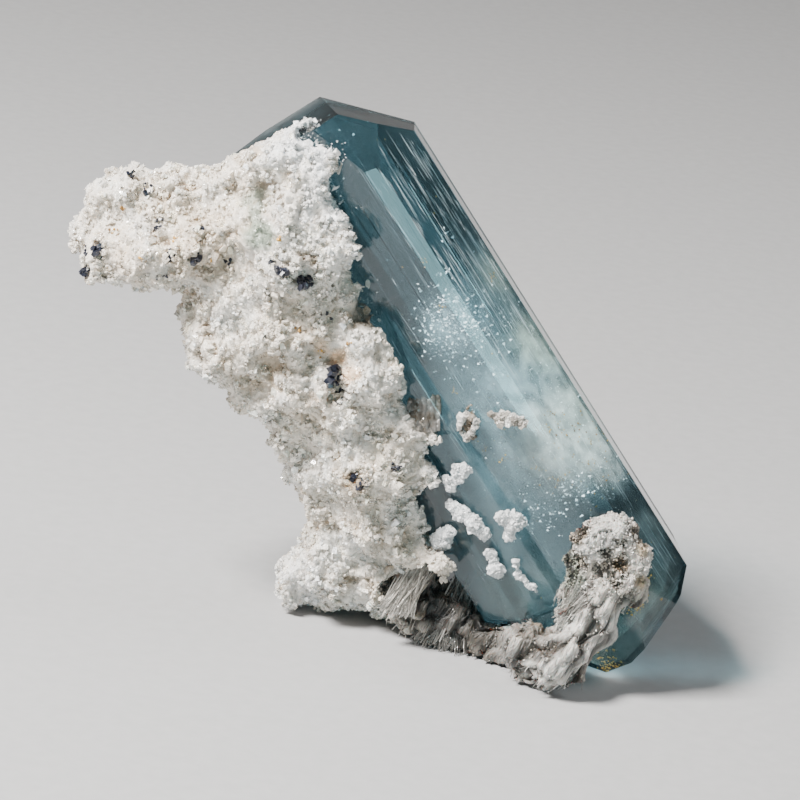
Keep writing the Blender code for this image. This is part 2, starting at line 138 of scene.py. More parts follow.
STAND = stand_axes()
CRYSTAL = crystal_axes()
CRYSTAL_CENTRE = np.array((7.7, 3.8, 0.0))
AXIS = CRYSTAL[:, 2]


def facing_origin():
    """Where the facing frame's origin stands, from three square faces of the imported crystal."""
    points = mesh_points(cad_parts["aquamarine_crystal"])
    centre = np.zeros(3)
    for azimuth, polar, distance in (TOP_FACE, RIGHT_FACE, FRONT_STRIP):
        normal = STAND @ CRYSTAL @ face_normal(azimuth, polar)
        centre += normal * ((points @ normal).max() - distance * MM)
    return centre - STAND @ CRYSTAL_CENTRE * MM


FACING_ORIGIN = facing_origin()


def stood(points):
    """Facing frame in mm to the standing frame in metres."""
    return points @ STAND.T * MM + FACING_ORIGIN


def laid(points):
    """Standing frame in metres to the facing frame in mm."""
    return (points - FACING_ORIGIN) @ STAND / MM


def at_pixel(u, v):
    """A place on the face given as a pixel of the 800 by 800 frame, as x and y in mm."""
    return (u - FRAME_MIDDLE) / PIXELS_PER_MM, (FRAME_MIDDLE - v) / PIXELS_PER_MM


def boxed(points):
    """Facing frame points moved, where they reach past it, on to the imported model's box."""
    return laid(np.clip(stood(points), BOX_LOW, BOX_HIGH))


def kept_in_box(points, margin):
    """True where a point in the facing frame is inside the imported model's box by the margin."""
    world, margin = stood(points), margin[:, None] * MM
    return ((world > BOX_LOW + margin) & (world < BOX_HIGH - margin)).all(axis=1)


def from_crystal(points):
    """Crystal frame to facing frame, both in mm."""
    return points @ CRYSTAL.T + CRYSTAL_CENTRE


def depth_in_crystal(points):
    """How far inside the large crystal each point is, in mm, or less than 0 outside."""
    local = (points - CRYSTAL_CENTRE) @ CRYSTAL
    faces = LARGE_PRISM + LARGE_ENDS
    return np.min([far - local @ face_normal(azimuth, polar) for azimuth, polar, far in faces], 0)


def unit(vectors):
    return vectors / np.linalg.norm(vectors, axis=-1, keepdims=True)


# ---- noise


def hashed(cells, seed):
    """A repeatable random number from 0 to 1 for each whole-number cell: its numbers mixed."""
    mixed = cells[..., 0] * 73856093 ^ cells[..., 1] * 19349663 ^ cells[..., 2] * 83492791
    mixed = (mixed + seed * 2654435761) & 0xFFFFFFFF
    mixed = ((mixed ^ (mixed >> 15)) * 2246822519) & 0xFFFFFFFF
    mixed = ((mixed ^ (mixed >> 13)) * 3266489917) & 0xFFFFFFFF
    return ((mixed ^ (mixed >> 16)) & 0xFFFFFF) / 0xFFFFFF


def smooth_noise(points, cell, seed):
    """Noise from -1 to 1: random lattice values blended by a smoothstep on each axis."""
    scaled = points / cell
    low = np.floor(scaled).astype(np.int64)
    part = scaled - low
    blend = part * part * (3.0 - 2.0 * part)
    total = np.zeros(len(points))
    for corner in np.ndindex(2, 2, 2):
        step = np.array(corner)
        weight = np.prod(np.where(step, blend, 1.0 - blend), axis=1)
        total += weight * hashed(low + step, seed)
    return 2.0 * total - 1.0


def layered_noise(points, cell, seed, layers=3):
    """Smooth noise with finer layers added, each half the cell and half the height of the last."""
    shares = 0.5 ** np.arange(layers)
    found = [smooth_noise(points, cell * s, seed + n) * s for n, s in enumerate(shares)]
    return np.sum(found, axis=0) / shares.sum()


def drifts(points, cell):
    """A smooth random shift of each point: one noise for each axis."""
    return np.stack([smooth_noise(points, cell, SEED + axis) for axis in range(3)], axis=1)


def domes(points, cell, seed):
    """Domed cells, 0 at their middles: the squared distance, in cells, to the nearest of one
    random point in each cell of a cubic lattice, up to 1."""
    scaled = points / cell
    low = np.floor(scaled).astype(np.int64)
    nearest = np.full(len(points), 9.0)
    for offset in np.ndindex(3, 3, 3):
        near = low + np.array(offset) - 1
        spot = near + np.stack([hashed(near, seed + axis) for axis in range(3)], axis=1)
        nearest = np.minimum(nearest, ((spot - scaled) ** 2).sum(axis=1))
    return np.clip(np.sqrt(nearest), 0.0, 1.0) ** 2


def fade(value, low, high):
    """0 below low, 1 above high and a smoothstep between."""
    t = np.clip((value - low) / (high - low), 0.0, 1.0)
    return t * t * (3.0 - 2.0 * t)


# ---- meshes


def linked(name, data):
    """A new object of the data, in the scene."""
    obj = bpy.data.objects.new(name, data)
    bpy.context.scene.collection.objects.link(obj)
    return obj


def mesh_object(name, points, faces, smooth=False):
    """An object from one array of points and arrays of faces, each array with one corner count."""
    arrays = [np.asarray(block, np.int32) for block in faces if len(block)]
    totals = np.concatenate([np.full(len(block), block.shape[1], np.int32) for block in arrays])
    corners = np.concatenate([block.ravel() for block in arrays])
    mesh = bpy.data.meshes.new(name)
    mesh.vertices.add(len(points))
    mesh.loops.add(len(corners))
    mesh.polygons.add(len(totals))
    mesh.vertices.foreach_set("co", np.asarray(points, np.float32).ravel())
    mesh.loops.foreach_set("vertex_index", corners)
    mesh.polygons.foreach_set("loop_start", (np.cumsum(totals) - totals).astype(np.int32))
    mesh.polygons.foreach_set("loop_total", totals)
    mesh.polygons.foreach_set("use_smooth", np.full(len(totals), smooth))
    mesh.update(calc_edges=True)
    mesh.validate()
    return linked(name, mesh)


def set_points(obj, points):
    obj.data.vertices.foreach_set("co", np.asarray(points, np.float32).ravel())
    obj.data.update()


def sunk_points(obj, depth):
    """A mesh's points moved in along their normals."""
    return mesh_points(obj) - mesh_points(obj, "normal") * depth[:, None]


def set_layer(obj, name, values, kind="FLOAT", what="value"):
    """Stores a value for each point, which the finishes read as the named attribute."""
    layer = obj.data.attributes.new(name, kind, "POINT")
    layer.data.foreach_set(what, np.asarray(values, np.float32).ravel())


def set_tint(obj, colours):
    with_alpha = np.column_stack((colours, np.ones(len(colours))))
    set_layer(obj, "tint", with_alpha, "FLOAT_COLOR", "color")


def apply_modifiers(obj):
    graph = bpy.context.evaluated_depsgraph_get()
    shaped = bpy.data.meshes.new_from_object(obj.evaluated_get(graph))
    obj.modifiers.clear()
    obj.data = shaped


def evened(obj, voxel):
    """The object with its surface made anew from voxels, as one even mesh."""
    modifier = obj.modifiers.new("even", "REMESH")
    modifier.mode, modifier.voxel_size = "VOXEL", voxel
    apply_modifiers(obj)
    return obj


def remeshed_copy(name, nodes, voxel):
    """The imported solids' own forms as one even mesh in the facing frame, in mm."""
    bm = bmesh.new()
    for node in nodes:
        bm.from_mesh(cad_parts[node].data)
    bmesh.ops.remove_doubles(bm, verts=bm.verts[:], dist=1e-6)
    obj = linked(name, bpy.data.meshes.new(name))
    bm.to_mesh(obj.data)
    bm.free()
    set_points(obj, laid(mesh_points(obj)))
    return evened(obj, voxel)


def finished(obj, material, slot, *nodes):
    """Gives a piece its finish, lets it ride on the one body and hides the imported parts it
    replaces.
    """
    obj.data.materials.clear()
    obj.data.materials.append(material)
    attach(obj, "root")
    if nodes:
        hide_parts(*nodes)


def surface_spots(obj, count, rng, values=None):
    """Random places spread evenly over a mesh's area, their facets' normals, and a point value."""
    obj.data.calc_loop_triangles()
    corners = np.empty(len(obj.data.loop_triangles) * 3, np.int32)
    obj.data.loop_triangles.foreach_get("vertices", corners)
    corners = corners.reshape(-1, 3)
    triangles = mesh_points(obj)[corners]
    crossed = np.cross(triangles[:, 1] - triangles[:, 0], triangles[:, 2] - triangles[:, 0])
    area = np.linalg.norm(crossed, axis=1)
    picked = rng.choice(len(area), count, p=area / area.sum())
    weights = rng.dirichlet((1.0, 1.0, 1.0), count)
    spots = (triangles[picked] * weights[:, :, None]).sum(axis=1)
    found = None if values is None else (values[corners[picked]] * weights).sum(axis=1)
    return spots, crossed[picked] / area[picked, None], found


def random_turns(count, rng):
    """Rotation matrices from random unit quaternions."""
    w, x, y, z = unit(rng.normal(size=(count, 4))).T
    rows = (
        (1 - 2 * (y * y + z * z), 2 * (x * y - z * w), 2 * (x * z + y * w)),
        (2 * (x * y + z * w), 1 - 2 * (x * x + z * z), 2 * (y * z - x * w)),
        (2 * (x * z - y * w), 2 * (y * z + x * w), 1 - 2 * (x * x + y * y)),
    )
    return np.array(rows).transpose(2, 0, 1)


def turns_along(directions, rng):
    """Rotation matrices whose z lies along each direction, spun about it by a random angle."""
    z = unit(directions)
    side = np.where(np.abs(z[:, 2:]) < 0.9, (0.0, 0.0, 1.0), (1.0, 0.0, 0.0))
    x = unit(np.cross(side, z))
    y = np.cross(z, x)
    angle = rng.uniform(-math.pi, math.pi, len(z))[:, None]
    x, y = x * np.cos(angle) + y * np.sin(angle), y * np.cos(angle) - x * np.sin(angle)
    return np.stack((x, y, z), axis=2)


def ring_faces(sides, levels):
    """Faces of a tube of rings: four-cornered walls from level to level and a cap at each end."""
    here = np.arange(sides)
    after = (here + 1) % sides
    wall = np.column_stack((here, after, after + sides, here + sides))
    walls = np.concatenate([wall + level * sides for level in range(levels - 1)])
    return [walls, np.array((here[::-1], here + (levels - 1) * sides))]


def turned_ring_solid(sides, *rings):
    """A closed solid: a regular polygon carried up z through rings of (radius, height)."""
    angles = np.arange(sides) * 2.0 * math.pi / sides
    circle = np.column_stack((np.cos(angles), np.sin(angles)))
    levels = [np.column_stack((circle * radius, np.full(sides, up))) for radius, up in rings]
    return np.concatenate(levels), ring_faces(sides, len(rings))


def copied_faces(blocks, points_each, count):
    """The same faces for each of a number of copies, counted on from copy to copy."""
    shift = np.arange(count)[:, None, None] * points_each
    return [(block[None] + shift).reshape(-1, block.shape[1]) for block in blocks]


def tinted_copies(name, placed, blocks, tints, each):
    """One mesh of copies, from their points, one copy's faces, and a tint for so many points."""
    faces = copied_faces(blocks, placed[0].size // 3, len(placed))
    obj = mesh_object(name, stood(boxed(placed.reshape(-1, 3))), faces)
    set_tint(obj, np.repeat(np.clip(tints, 0.0, 0.95).reshape(-1, 3), each, axis=0))
    return obj


def scattered(name, shape, centres, turns, sizes, tints):
    """Copies of a small solid as one mesh: its points are turned, sized and moved as an array."""
    points, blocks = shape
    placed = np.einsum("nij,nkj->nki", turns, points[None] * sizes[:, None, :])
    placed += centres[:, None, :]
    return tinted_copies(name, placed, blocks, tints, len(points))


GRAIN_BLOCK = turned_ring_solid(4, (0.82, -0.5), (0.62, 0.55))
GRAIN_WEDGE = turned_ring_solid(3, (1.05, -0.5), (0.7, 0.6))
GRAIN_TABLET = turned_ring_solid(5, (0.85, -0.42), (0.6, 0.45))
FLAKE = turned_ring_solid(3, (1.0, -0.5), (0.7, 0.5))
NEEDLE = turned_ring_solid(3, (0.15, -1.0), (1.0, -0.2), (1.0, 0.3), (0.1, 1.0))
BLADE_STATIONS = np.array((0.0, 0.3, 0.75, 1.0))
BLADE_TAPER = np.array((0.5, 1.0, 1.0, 0.68))
BLADE_SECTION = np.array(
    ((1.0, 0.0), (0.6, 0.5), (-0.6, 0.5), (-1.0, 0.0), (-0.6, -0.5), (0.6, -0.5))
)


def blades(name, starts, ends, bows, outward, widths, thicknesses, root_tints, tip_tints, slants):
    """Thin closed blades as one mesh: a flat six-cornered section carried along a bowed line.

    The line runs from start to end plus the bow times 4t(1 - t). The section is as wide and as
    thick as given, narrowed towards both ends, with the last one slanted, so the tips are ragged.
    """
    t = BLADE_STATIONS[None, :, None]
    line = starts[:, None] * (1 - t) + ends[:, None] * t + bows[:, None] * (4 * t * (1 - t))
    run = unit(np.gradient(line, axis=1))
    side = unit(np.cross(outward[:, None], run))
    flat = np.cross(run, side)
    widths, thicknesses, slants = (a[:, None, None, None] for a in (widths, thicknesses, slants))
    size = BLADE_TAPER[None, :, None, None]
    across = BLADE_SECTION[None, None, :, :1] * widths * size
    through = BLADE_SECTION[None, None, :, 1:] * thicknesses * size
    lean = across * slants * (t[..., None] > 0.99)
    placed = line[:, :, None] + side[:, :, None] * across + flat[:, :, None] * through
    placed += run[:, :, None] * lean
    shares = fade(t, 0.15, 0.95)
    tints = root_tints[:, None] * (1 - shares) + tip_tints[:, None] * shares
    corners = len(BLADE_SECTION)
    return tinted_copies(name, placed, ring_faces(corners, t.size), tints, corners)


def joined(name, objects):
    """Several objects' meshes as one object."""
    with bpy.context.temp_override(active_object=objects[0], selected_editable_objects=objects):
        bpy.ops.object.join()
    objects[0].name = objects[0].data.name = name
    return objects[0]


# ---- finishes


class Finish:
    """A node material built up one node at a time."""

    def __init__(self, name):
        self.material = bpy.data.materials.new(name)
        self.material.use_nodes = True
        self.tree = self.material.node_tree
        self.shader = self.tree.nodes["Principled BSDF"]
        self.output = self.tree.nodes["Material Output"]
        self.place = self.tree.nodes.new("ShaderNodeTexCoord").outputs["Object"]

    def node(self, kind, inputs=(), out=0, **settings):
        """Adds a node, sets or links its inputs and gives the output asked for."""
        made = self.tree.nodes.new(f"ShaderNode{kind}")
        for setting, value in settings.items():
            setattr(made, setting, value)
        for socket, value in dict(inputs).items():
            self.feed(made.inputs[socket], value)
        return made.outputs[out]

    def feed(self, socket, value):
        if isinstance(value, bpy.types.NodeSocket):
            self.tree.links.new(value, socket)
        else:
            socket.default_value = value

    def shade(self, **values):
        """Sets or links the shader's inputs and gives the material."""
        for socket, value in values.items():
            self.feed(self.shader.inputs[socket.replace("_", " ")], value)
        return self.material

    def noise(self, cell, detail, where=None, distortion=0.0):
        inputs = {"Vector": where or self.place, "Scale": 1.0 / (cell * MM)}
        return self.node("TexNoise", {**inputs, "Detail": detail, "Distortion": distortion})

    def ranged(self, value, low, high, to_low=0.0, to_high=1.0):
        return self.node("MapRange", enumerate((value, low, high, to_low, to_high)))

    def maths(self, operation, first, second, **settings):
        return self.node("Math", {0: first, 1: second}, operation=operation, **settings)

    def mixed(self, share, first, second, blend="MIX"):
        inputs = {0: share, 6: first, 7: second}
        return self.node("Mix", inputs, 2, data_type="RGBA", blend_type=blend)

    def bump(self, height, strength, depth, under=None):
        inputs = {"Height": height, "Strength": strength, "Distance": depth * MM}
        return self.node("Bump", inputs if under is None else {**inputs, "Normal": under})

    def attribute(self, name, out="Fac"):
        return self.node("Attribute", out=out, attribute_name=name)

    def tint(self, shade=None):
        """The piece's own colours, multiplied by a shade where one is given."""
        if shade is None:
            return self.attribute("tint", "Color")
        grey = self.node("CombineColor", {"Red": shade, "Green": shade, "Blue": shade})
        return self.mixed(1.0, self.tint(), grey, "MULTIPLY")

    def facets(self, cell, tilt):
        """A grain pattern: each cell gets its own tone and its own tilt of the surface's normal."""

        def vectors(operation, *inputs):
            return self.node("VectorMath", enumerate(inputs), operation=operation)

        inputs = {"Vector": self.place, "Scale": 1.0 / (cell * MM)}
        distance, colour = self.node("TexVoronoi", inputs).node.outputs[:2]
        tilted = vectors("MULTIPLY", vectors("SUBTRACT", colour, (0.5,) * 3), (tilt,) * 3)
        summed = vectors("ADD", tilted, self.node("NewGeometry", out="Normal"))
        normal = vectors("NORMALIZE", summed)
        return normal, self.node("SeparateColor", {0: colour}, "Green"), distance

    def drawn_out(self, axes, share):
        """Object coordinates turned to the axes, with the last one's shrunk to the share."""
        turn = Matrix((STAND @ axes).T.tolist()).to_euler()
        turned = self.node("Mapping", {"Vector": self.place, "Rotation": turn})
        return self.node("Mapping", {"Vector": turned, "Scale": (1.0, 1.0, share)})

    def surface(self, share, first, second):
        """Makes the surface a mix of two shaders."""
        mix = self.node("MixShader", {0: share, 1: first, 2: second})
        self.feed(self.output.inputs["Surface"], mix)

    def lets_lamps_through(self, tint):
        """Lamps' light passes straight on with a tint, so that what is inside is lit."""
        clear = self.node("BsdfTransparent", {"Color": tint})
        self.surface(self.node("LightPath", out="Is Shadow Ray"), self.shader.outputs[0], clear)


def aquamarine_finish():
    """Clear blue crystal: faint lengthwise lines, smears, and frosted where the attribute says."""
    finish = Finish("aquamarine")
    relief = finish.bump(finish.noise(0.35, 2.0, finish.drawn_out(CRYSTAL, 1 / 60)), 0.06, 0.03)
    smears = finish.ranged(finish.noise(5.0, 4.0), 0.45, 0.75, 0.015, 0.09)
    smears = finish.maths("ADD", smears, finish.attribute("frost"))
    absorb = {"Color": (0.46, 0.62, 0.66, 1.0), "Density": 300.0}
    finish.feed(finish.output.inputs["Volume"], finish.node("VolumeAbsorption", absorb))
    finish.lets_lamps_through((0.80, 0.90, 0.92, 1.0))
    return finish.shade(
        Base_Color=(0.93, 0.97, 0.975, 1.0), Transmission_Weight=1.0, IOR=1.577,
        Specular_IOR_Level=0.15, Roughness=smears, Normal=relief,
    )


def haze_finish(name, cell, thinnest, strength):
    """Milky clouds and fine snow: a matt veil that is clear where it is thin."""
    finish = Finish(name)
    clouds = finish.noise(cell, 2.0, finish.drawn_out(CRYSTAL, 1 / 1.3), 0.6)
    clouds = finish.ranged(clouds, 0.32, 0.66, thinnest, 1.0)
    wisps = finish.noise(1.3, 3.0, finish.drawn_out(CRYSTAL, 1 / 1.5))
    wisps = finish.ranged(wisps, 0.3, 0.72, 0.6, 1.35)
    snow = finish.ranged(finish.noise(0.16, 1.0), 0.66, 0.74, 0.0, 0.8)
    cover = finish.maths("ADD", finish.maths("MULTIPLY", clouds, wisps), snow)
    cover = finish.maths("MULTIPLY", cover, finish.attribute("haze"))
    cover = finish.maths("MULTIPLY", cover, strength, use_clamp=True)
    milk = finish.shade(Base_Color=finish.tint(), Roughness=0.8, Specular_IOR_Level=0.0)
    finish.surface(cover, finish.node("BsdfTransparent"), finish.shader.outputs[0])
    return milk


def inclusion_finish(name, roughness):
    """Small solid inclusions, in their own tints."""
    finish = Finish(name)
    return finish.shade(Base_Color=finish.tint(), Roughness=roughness)


def fibrous_finish(name):
    """Bladed feldspar: the piece's own tint under fine threads drawn out along the blades' way."""
    finish = Finish(name)
    threads = finish.noise(0.34, 3.0, finish.drawn_out(FIBRE_FRAME, 0.07))
    colour = finish.tint(finish.ranged(threads, 0.32, 0.62, 0.5, 1.12))
    return finish.shade(
        Base_Color=colour, Roughness=0.45, Normal=finish.bump(threads, 1.0, 0.35), IOR=1.53,
        Subsurface_Weight=0.2, Subsurface_Scale=0.0006,
    )


def albite_finish(name, subsurface, roughness, cell, tilt=0.9):
    """Sugary white feldspar: its own tint in grains that each catch the light their own way."""
    finish = Finish(name)
    normal, tone, edge = finish.facets(cell, tilt)
    mottle = finish.ranged(finish.noise(0.9, 4.0), 0.3, 0.7, 0.88, 1.06)
    grain = finish.ranged(tone, 0.0, 1.0, 0.82, 1.1)
    colour = finish.tint(finish.maths("MULTIPLY", mottle, grain))
    domed = finish.bump(finish.ranged(edge, 0.0, 0.8, 1.0, 0.0), 0.35, cell * 0.4, normal)
    sheen = finish.ranged(tone, 0.25, 0.8, roughness + 0.15, max(0.06, roughness - 0.24))
    return finish.shade(
        Base_Color=colour, Roughness=sheen, Normal=domed, IOR=1.53, Specular_IOR_Level=0.75,
        Subsurface_Weight=subsurface, Subsurface_Scale=0.001, Subsurface_Radius=(1.0, 0.9, 0.8),
    )


def clear_grain_finish():
    """Glassy grains of the matrix: clear, faintly milky at some places."""
    finish = Finish("glassy_albite")
    milk = finish.ranged(finish.noise(1.2, 2.0), 0.4, 0.7, 0.02, 0.2)
    finish.lets_lamps_through((0.85, 0.85, 0.83, 1.0))
    return finish.shade(
        Base_Color=(0.96, 0.92, 0.86, 1.0), Transmission_Weight=0.9, IOR=1.53, Roughness=milk
    )


def dark_mineral_finish(name):
    """Blue-black crystal: two dark tones in blotches over finely etched faces."""
    finish = Finish(name)
    blotch = finish.ranged(finish.noise(0.5, 3.0), 0.35, 0.7)
    colour = finish.mixed(blotch, (0.006, 0.008, 0.016, 1.0), (0.03, 0.033, 0.05, 1.0))
    etched = finish.bump(finish.noise(0.15, 3.0), 0.4, 0.03)
    return finish.shade(Base_Color=colour, Roughness=0.28, Normal=etched)


def plain_floor_finish():
    """Pale matt paper in two close tones."""
    finish = Finish("floor_paper")
    fleck = finish.ranged(finish.noise(2.0, 2.0), 0.3, 0.7)
    colour = finish.mixed(fleck, (0.38, 0.38, 0.385, 1.0), (0.405, 0.405, 0.41, 1.0))
    return finish.shade(Base_Color=colour, Roughness=0.7)


# ---- crystal


def section_corners(prism):
    """Corners of a prism's section: neighbouring sides meet where both their distances hold."""
    corners = []
    for (a, _, d), (b, _, e) in zip(prism, prism[1:] + prism[:1]):
        sides = np.array((face_normal(a, 90.0)[:2], face_normal(b, 90.0)[:2]))
        corners.append(np.linalg.solve(sides, (d, e)))
    return corners


def ridge_relief(azimuth, sideways, along):
    """Height of the growth ridges: a flat-topped bar that fades over its rims and its ends."""
    height = np.zeros_like(sideways)
    for face, middle, width, low, high in RIDGES:
        if face != azimuth:
            continue
        rim = fade(width / 2 - np.abs(sideways - middle), 0.0, RIDGE_HEIGHT)
        ends = fade(along, low, low + RIDGE_TAPER) * fade(-along, -high, RIDGE_TAPER - high)
        height = np.maximum(height, RIDGE_HEIGHT * rim * ends)
    return height


def striation_relief(azimuth, sideways, along):
    """Depth of the lines along the c axis: noise drawn out lengthwise, as lines and terraces."""

    def lines(size, seed):
        place = (sideways / size[0], along / size[1], np.full_like(along, azimuth))
        return smooth_noise(np.column_stack(place), 1.0, seed)

    calm = fade(lines(CALM_SIZE, 3), -0.6, 0.5)
    terraces = np.tanh(4.0 * lines(TERRACE_SIZE, SEED + 5))
    return 0.5 + 0.3 * lines(LINE_SIZE, SEED) * (0.2 + 0.8 * calm) + 0.08 * terraces


def prism_surface(prism, reach, step, relief_share):
    """The prism's side walls as a grid: around the section by c axis height, with their relief."""
    corners = section_corners(prism)
    heights = np.linspace(-reach, reach, PRISM_ROWS)
    columns = []
    for number, (azimuth, _, _) in enumerate(prism):
        start, end = corners[number - 1], corners[number]
        length = np.linalg.norm(end - start)
        steps = max(2, round((length - 2 * EDGE_CHAMFER) / step))
        share = np.linspace(EDGE_CHAMFER, length - EDGE_CHAMFER, steps) / length
        normal = face_normal(azimuth, 90.0)[:2]
        tangent = np.array((-normal[1], normal[0]))
        flat = start + (end - start) * share[:, None]
        side, up = np.meshgrid(flat @ tangent, heights)
        calm_rim = fade(np.minimum(share, 1 - share) * length, 0.0, 0.4)
        depth = STRIATION_DEPTH * STRIATION.get(azimuth, STRIATION_ELSEWHERE)
        grid = azimuth, side.ravel(), up.ravel()
        relief = ridge_relief(*grid) - depth * striation_relief(*grid)
        relief = relief.reshape(side.shape) * calm_rim * relief_share
        place = flat[None] + normal * relief[:, :, None]
        columns.append(np.concatenate((place, up[:, :, None]), axis=2))
    return np.concatenate(columns, axis=1)


def closed_tube(name, grid):
    """Joins a grid's last column to its first and closes both ends."""
    rows, around = grid.shape[:2]
    index = np.arange(rows * around).reshape(rows, around)
    beside = np.roll(index, -1, axis=1)
    walls = np.stack((index[:-1], beside[:-1], beside[1:], index[1:]), axis=2).reshape(-1, 4)
    return mesh_object(name, grid.reshape(-1, 3), [walls, index[:1, ::-1], index[-1:]], True)


def grown_crystal(name, prism, ends, step=PRISM_STEP, relief_share=1.0):
    """A prism run past its ends, then cut by each end face in turn, with each cut closed."""
    reach = max(distance for _, polar, distance in ends if polar in (0, 180)) + END_OVERRUN
    obj = closed_tube(name, prism_surface(prism, reach, step, relief_share))
    bm = bmesh.new()
    bm.from_mesh(obj.data)
    for azimuth, polar, distance in ends:
        normal = Vector(face_normal(azimuth, polar))
        found = bmesh.ops.bisect_plane(
            bm, geom=bm.verts[:] + bm.edges[:] + bm.faces[:], dist=1e-5,
            plane_co=normal * distance, plane_no=normal, clear_outer=True,
        )
        rim = [item for item in found["geom_cut"] if isinstance(item, bmesh.types.BMEdge)]
        bmesh.ops.edgeloop_fill(bm, edges=rim)
    bmesh.ops.recalc_face_normals(bm, faces=bm.faces[:])
    bm.to_mesh(obj.data)
    bm.free()
    return obj


def build_crystal():
    """The large crystal and the small parallel one grown into it, as one clear solid."""
    crystal = grown_crystal("crystal_faces", LARGE_PRISM, LARGE_ENDS)
    small = grown_crystal("small_crystal", SMALL_PRISM, SMALL_ENDS)
    union = crystal.modifiers.new("grown_together", "BOOLEAN")
    union.operation, union.solver, union.object = "UNION", "EXACT", small
    apply_modifiers(crystal)
    bpy.data.objects.remove(small)
    grown = mesh_points(crystal)
    set_layer(crystal, "frost", BACK_FROST * fade(-grown[:, 0], -1.0, 3.0))
    set_points(crystal, stood(from_crystal(grown)))
    crystal.data.shade_smooth()
    crystal.data.set_sharp_from_angle(angle=SHARP_ANGLE)
    finished(crystal, aquamarine_finish(), "aquamarine", "aquamarine_crystal")


def outer_height(x, y, faces):
    """The z at which a line towards the viewer leaves a convex crystal, and the normal there.

    Each face that looks at the viewer holds z below (distance - normal . place) / normal z, so the
    surface is the lowest of these; where a face that looks away holds z above that, nothing is hit.
    """
    normals = np.array([CRYSTAL @ face_normal(azimuth, polar) for azimuth, polar, _ in faces])
    distances = np.array([distance for _, _, distance in faces]) + normals @ CRYSTAL_CENTRE
    depth = (distances - np.column_stack((x, y)) @ normals[:, :2].T) / normals[:, 2]
    front = normals[:, 2] > 0
    heights = np.where(front, depth, np.inf)
    found, behind = heights.min(axis=1), np.where(front, -np.inf, depth).max(axis=1)
    found[found < behind] = -np.inf
    return found, normals[heights.argmin(axis=1)]


def crystal_front(x, y):
    """The crystals' front over places on the face: its z, or -inf off them, and its normal."""
    large, large_normals = outer_height(x, y, LARGE_PRISM + LARGE_ENDS)
    small, small_normals = outer_height(x, y, SMALL_PRISM + SMALL_ENDS)
    ahead = (small > large)[:, None]
    return np.maximum(large, small), np.where(ahead, small_normals, large_normals)


HAZE_BLUE = np.array((0.58, 0.74, 0.80))
HAZE_WHITE = np.array((0.86, 0.87, 0.84))
HAZE_GREEN = np.array((0.70, 0.76, 0.68))
HAZE_GREY = np.array((0.42, 0.52, 0.52))
SNOW_WHITE = np.array((0.90, 0.93, 0.95))
# Painted highlight: the white of the lines laid along the striations.
STRIATION_HIGHLIGHT_WHITE = np.array((0.85, 0.9, 0.92))
# Painted reflection: the pale silver given to the fracture plates stands in for the light they
# mirror.
PAINTED_GLINT_SILVER = np.array((0.86, 0.92, 0.95))
OCHRE = np.array((0.62, 0.36, 0.08))
RUST_BROWN = np.array((0.22, 0.12, 0.05))
STAIN_GREEN = np.array((0.42, 0.38, 0.14))
# Milky zones by place on the face: (u, v, radius in mm, strength, colour).
HAZE_ZONES = (
    (505, 395, 6.5, 0.50, HAZE_BLUE), (452, 325, 3.0, 0.70, HAZE_BLUE),
    (560, 430, 5.0, 1.00, HAZE_WHITE), (600, 460, 3.0, 0.70, HAZE_WHITE),
    (540, 340, 4.0, 0.80, HAZE_GREEN), (590, 400, 4.5, 0.80, HAZE_GREEN),
    (505, 270, 3.4, 0.55, HAZE_GREEN), (490, 490, 6.0, 0.25, HAZE_BLUE),
    (520, 590, 6.5, 0.35, HAZE_GREY), (655, 520, 3.0, 0.15, HAZE_GREEN),
    (640, 600, 5.0, 0.35, HAZE_GREEN), (600, 650, 5.0, 0.35, HAZE_GREEN),
)
# Haze shells: (name, prism, ends, depth under the faces, cloud size in mm, thinnest, strength).
HAZE_SHELLS = (
    ("haze_outer", LARGE_PRISM, LARGE_ENDS, 0.6, 3.0, 0.35, 0.85),
    ("haze_inner", LARGE_PRISM, LARGE_ENDS, 2.4, 4.2, 0.3, 1.0),
    ("haze_small", SMALL_PRISM, SMALL_ENDS, 0.5, 6.0, 0.8, 0.45),
)
# Places under the crystal's front by place on the face: (u, v, scatter in mm, count).
SNOW_PLACES = (
    (440, 312, 1.2, 450), (458, 330, 1.7, 900), (520, 400, 4.0, 1000), (560, 425, 2.8, 2600),
    (600, 470, 2.0, 1500), (560, 480, 2.4, 900), (490, 300, 3.0, 400), (540, 340, 3.6, 600),
    (590, 400, 2.8, 600), (500, 480, 5.0, 300),
)
TUBE_PLACES = (
    (540, 400, 4.0, 60), (590, 450, 3.4, 70), (450, 290, 3.0, 40), (430, 200, 4.0, 60),
    (510, 330, 3.2, 50), (640, 560, 3.0, 30), (480, 560, 6.0, 20),
)
RUST_PLACES = (
    (576, 436, 2.4, 60), (590, 460, 2.0, 50), (552, 418, 1.0, 26), (441, 308, 0.25, 10),
    (424, 265, 0.3, 12), (483, 448, 0.3, 9), (503, 458, 0.3, 9), (538, 465, 0.5, 14),
    (557, 478, 0.6, 14), (610, 440, 1.4, 22), (490, 280, 0.3, 8), (454, 390, 0.3, 6),
    (520, 420, 4.0, 24),
)
GLINT_PLACES = (
    (447, 322, 1.9, 260), (465, 335, 2.0, 140), (575, 487, 1.2, 60), (545, 515, 1.6, 70),
    (520, 380, 4.0, 60), (443, 240, 0.4, 8), (440, 275, 0.4, 8),
)
STAIN_PLACES = (
    (632, 604, 0.7, 90), (612, 671, 0.9, 120), (645, 580, 0.4, 25), (640, 590, 0.8, 40),
)
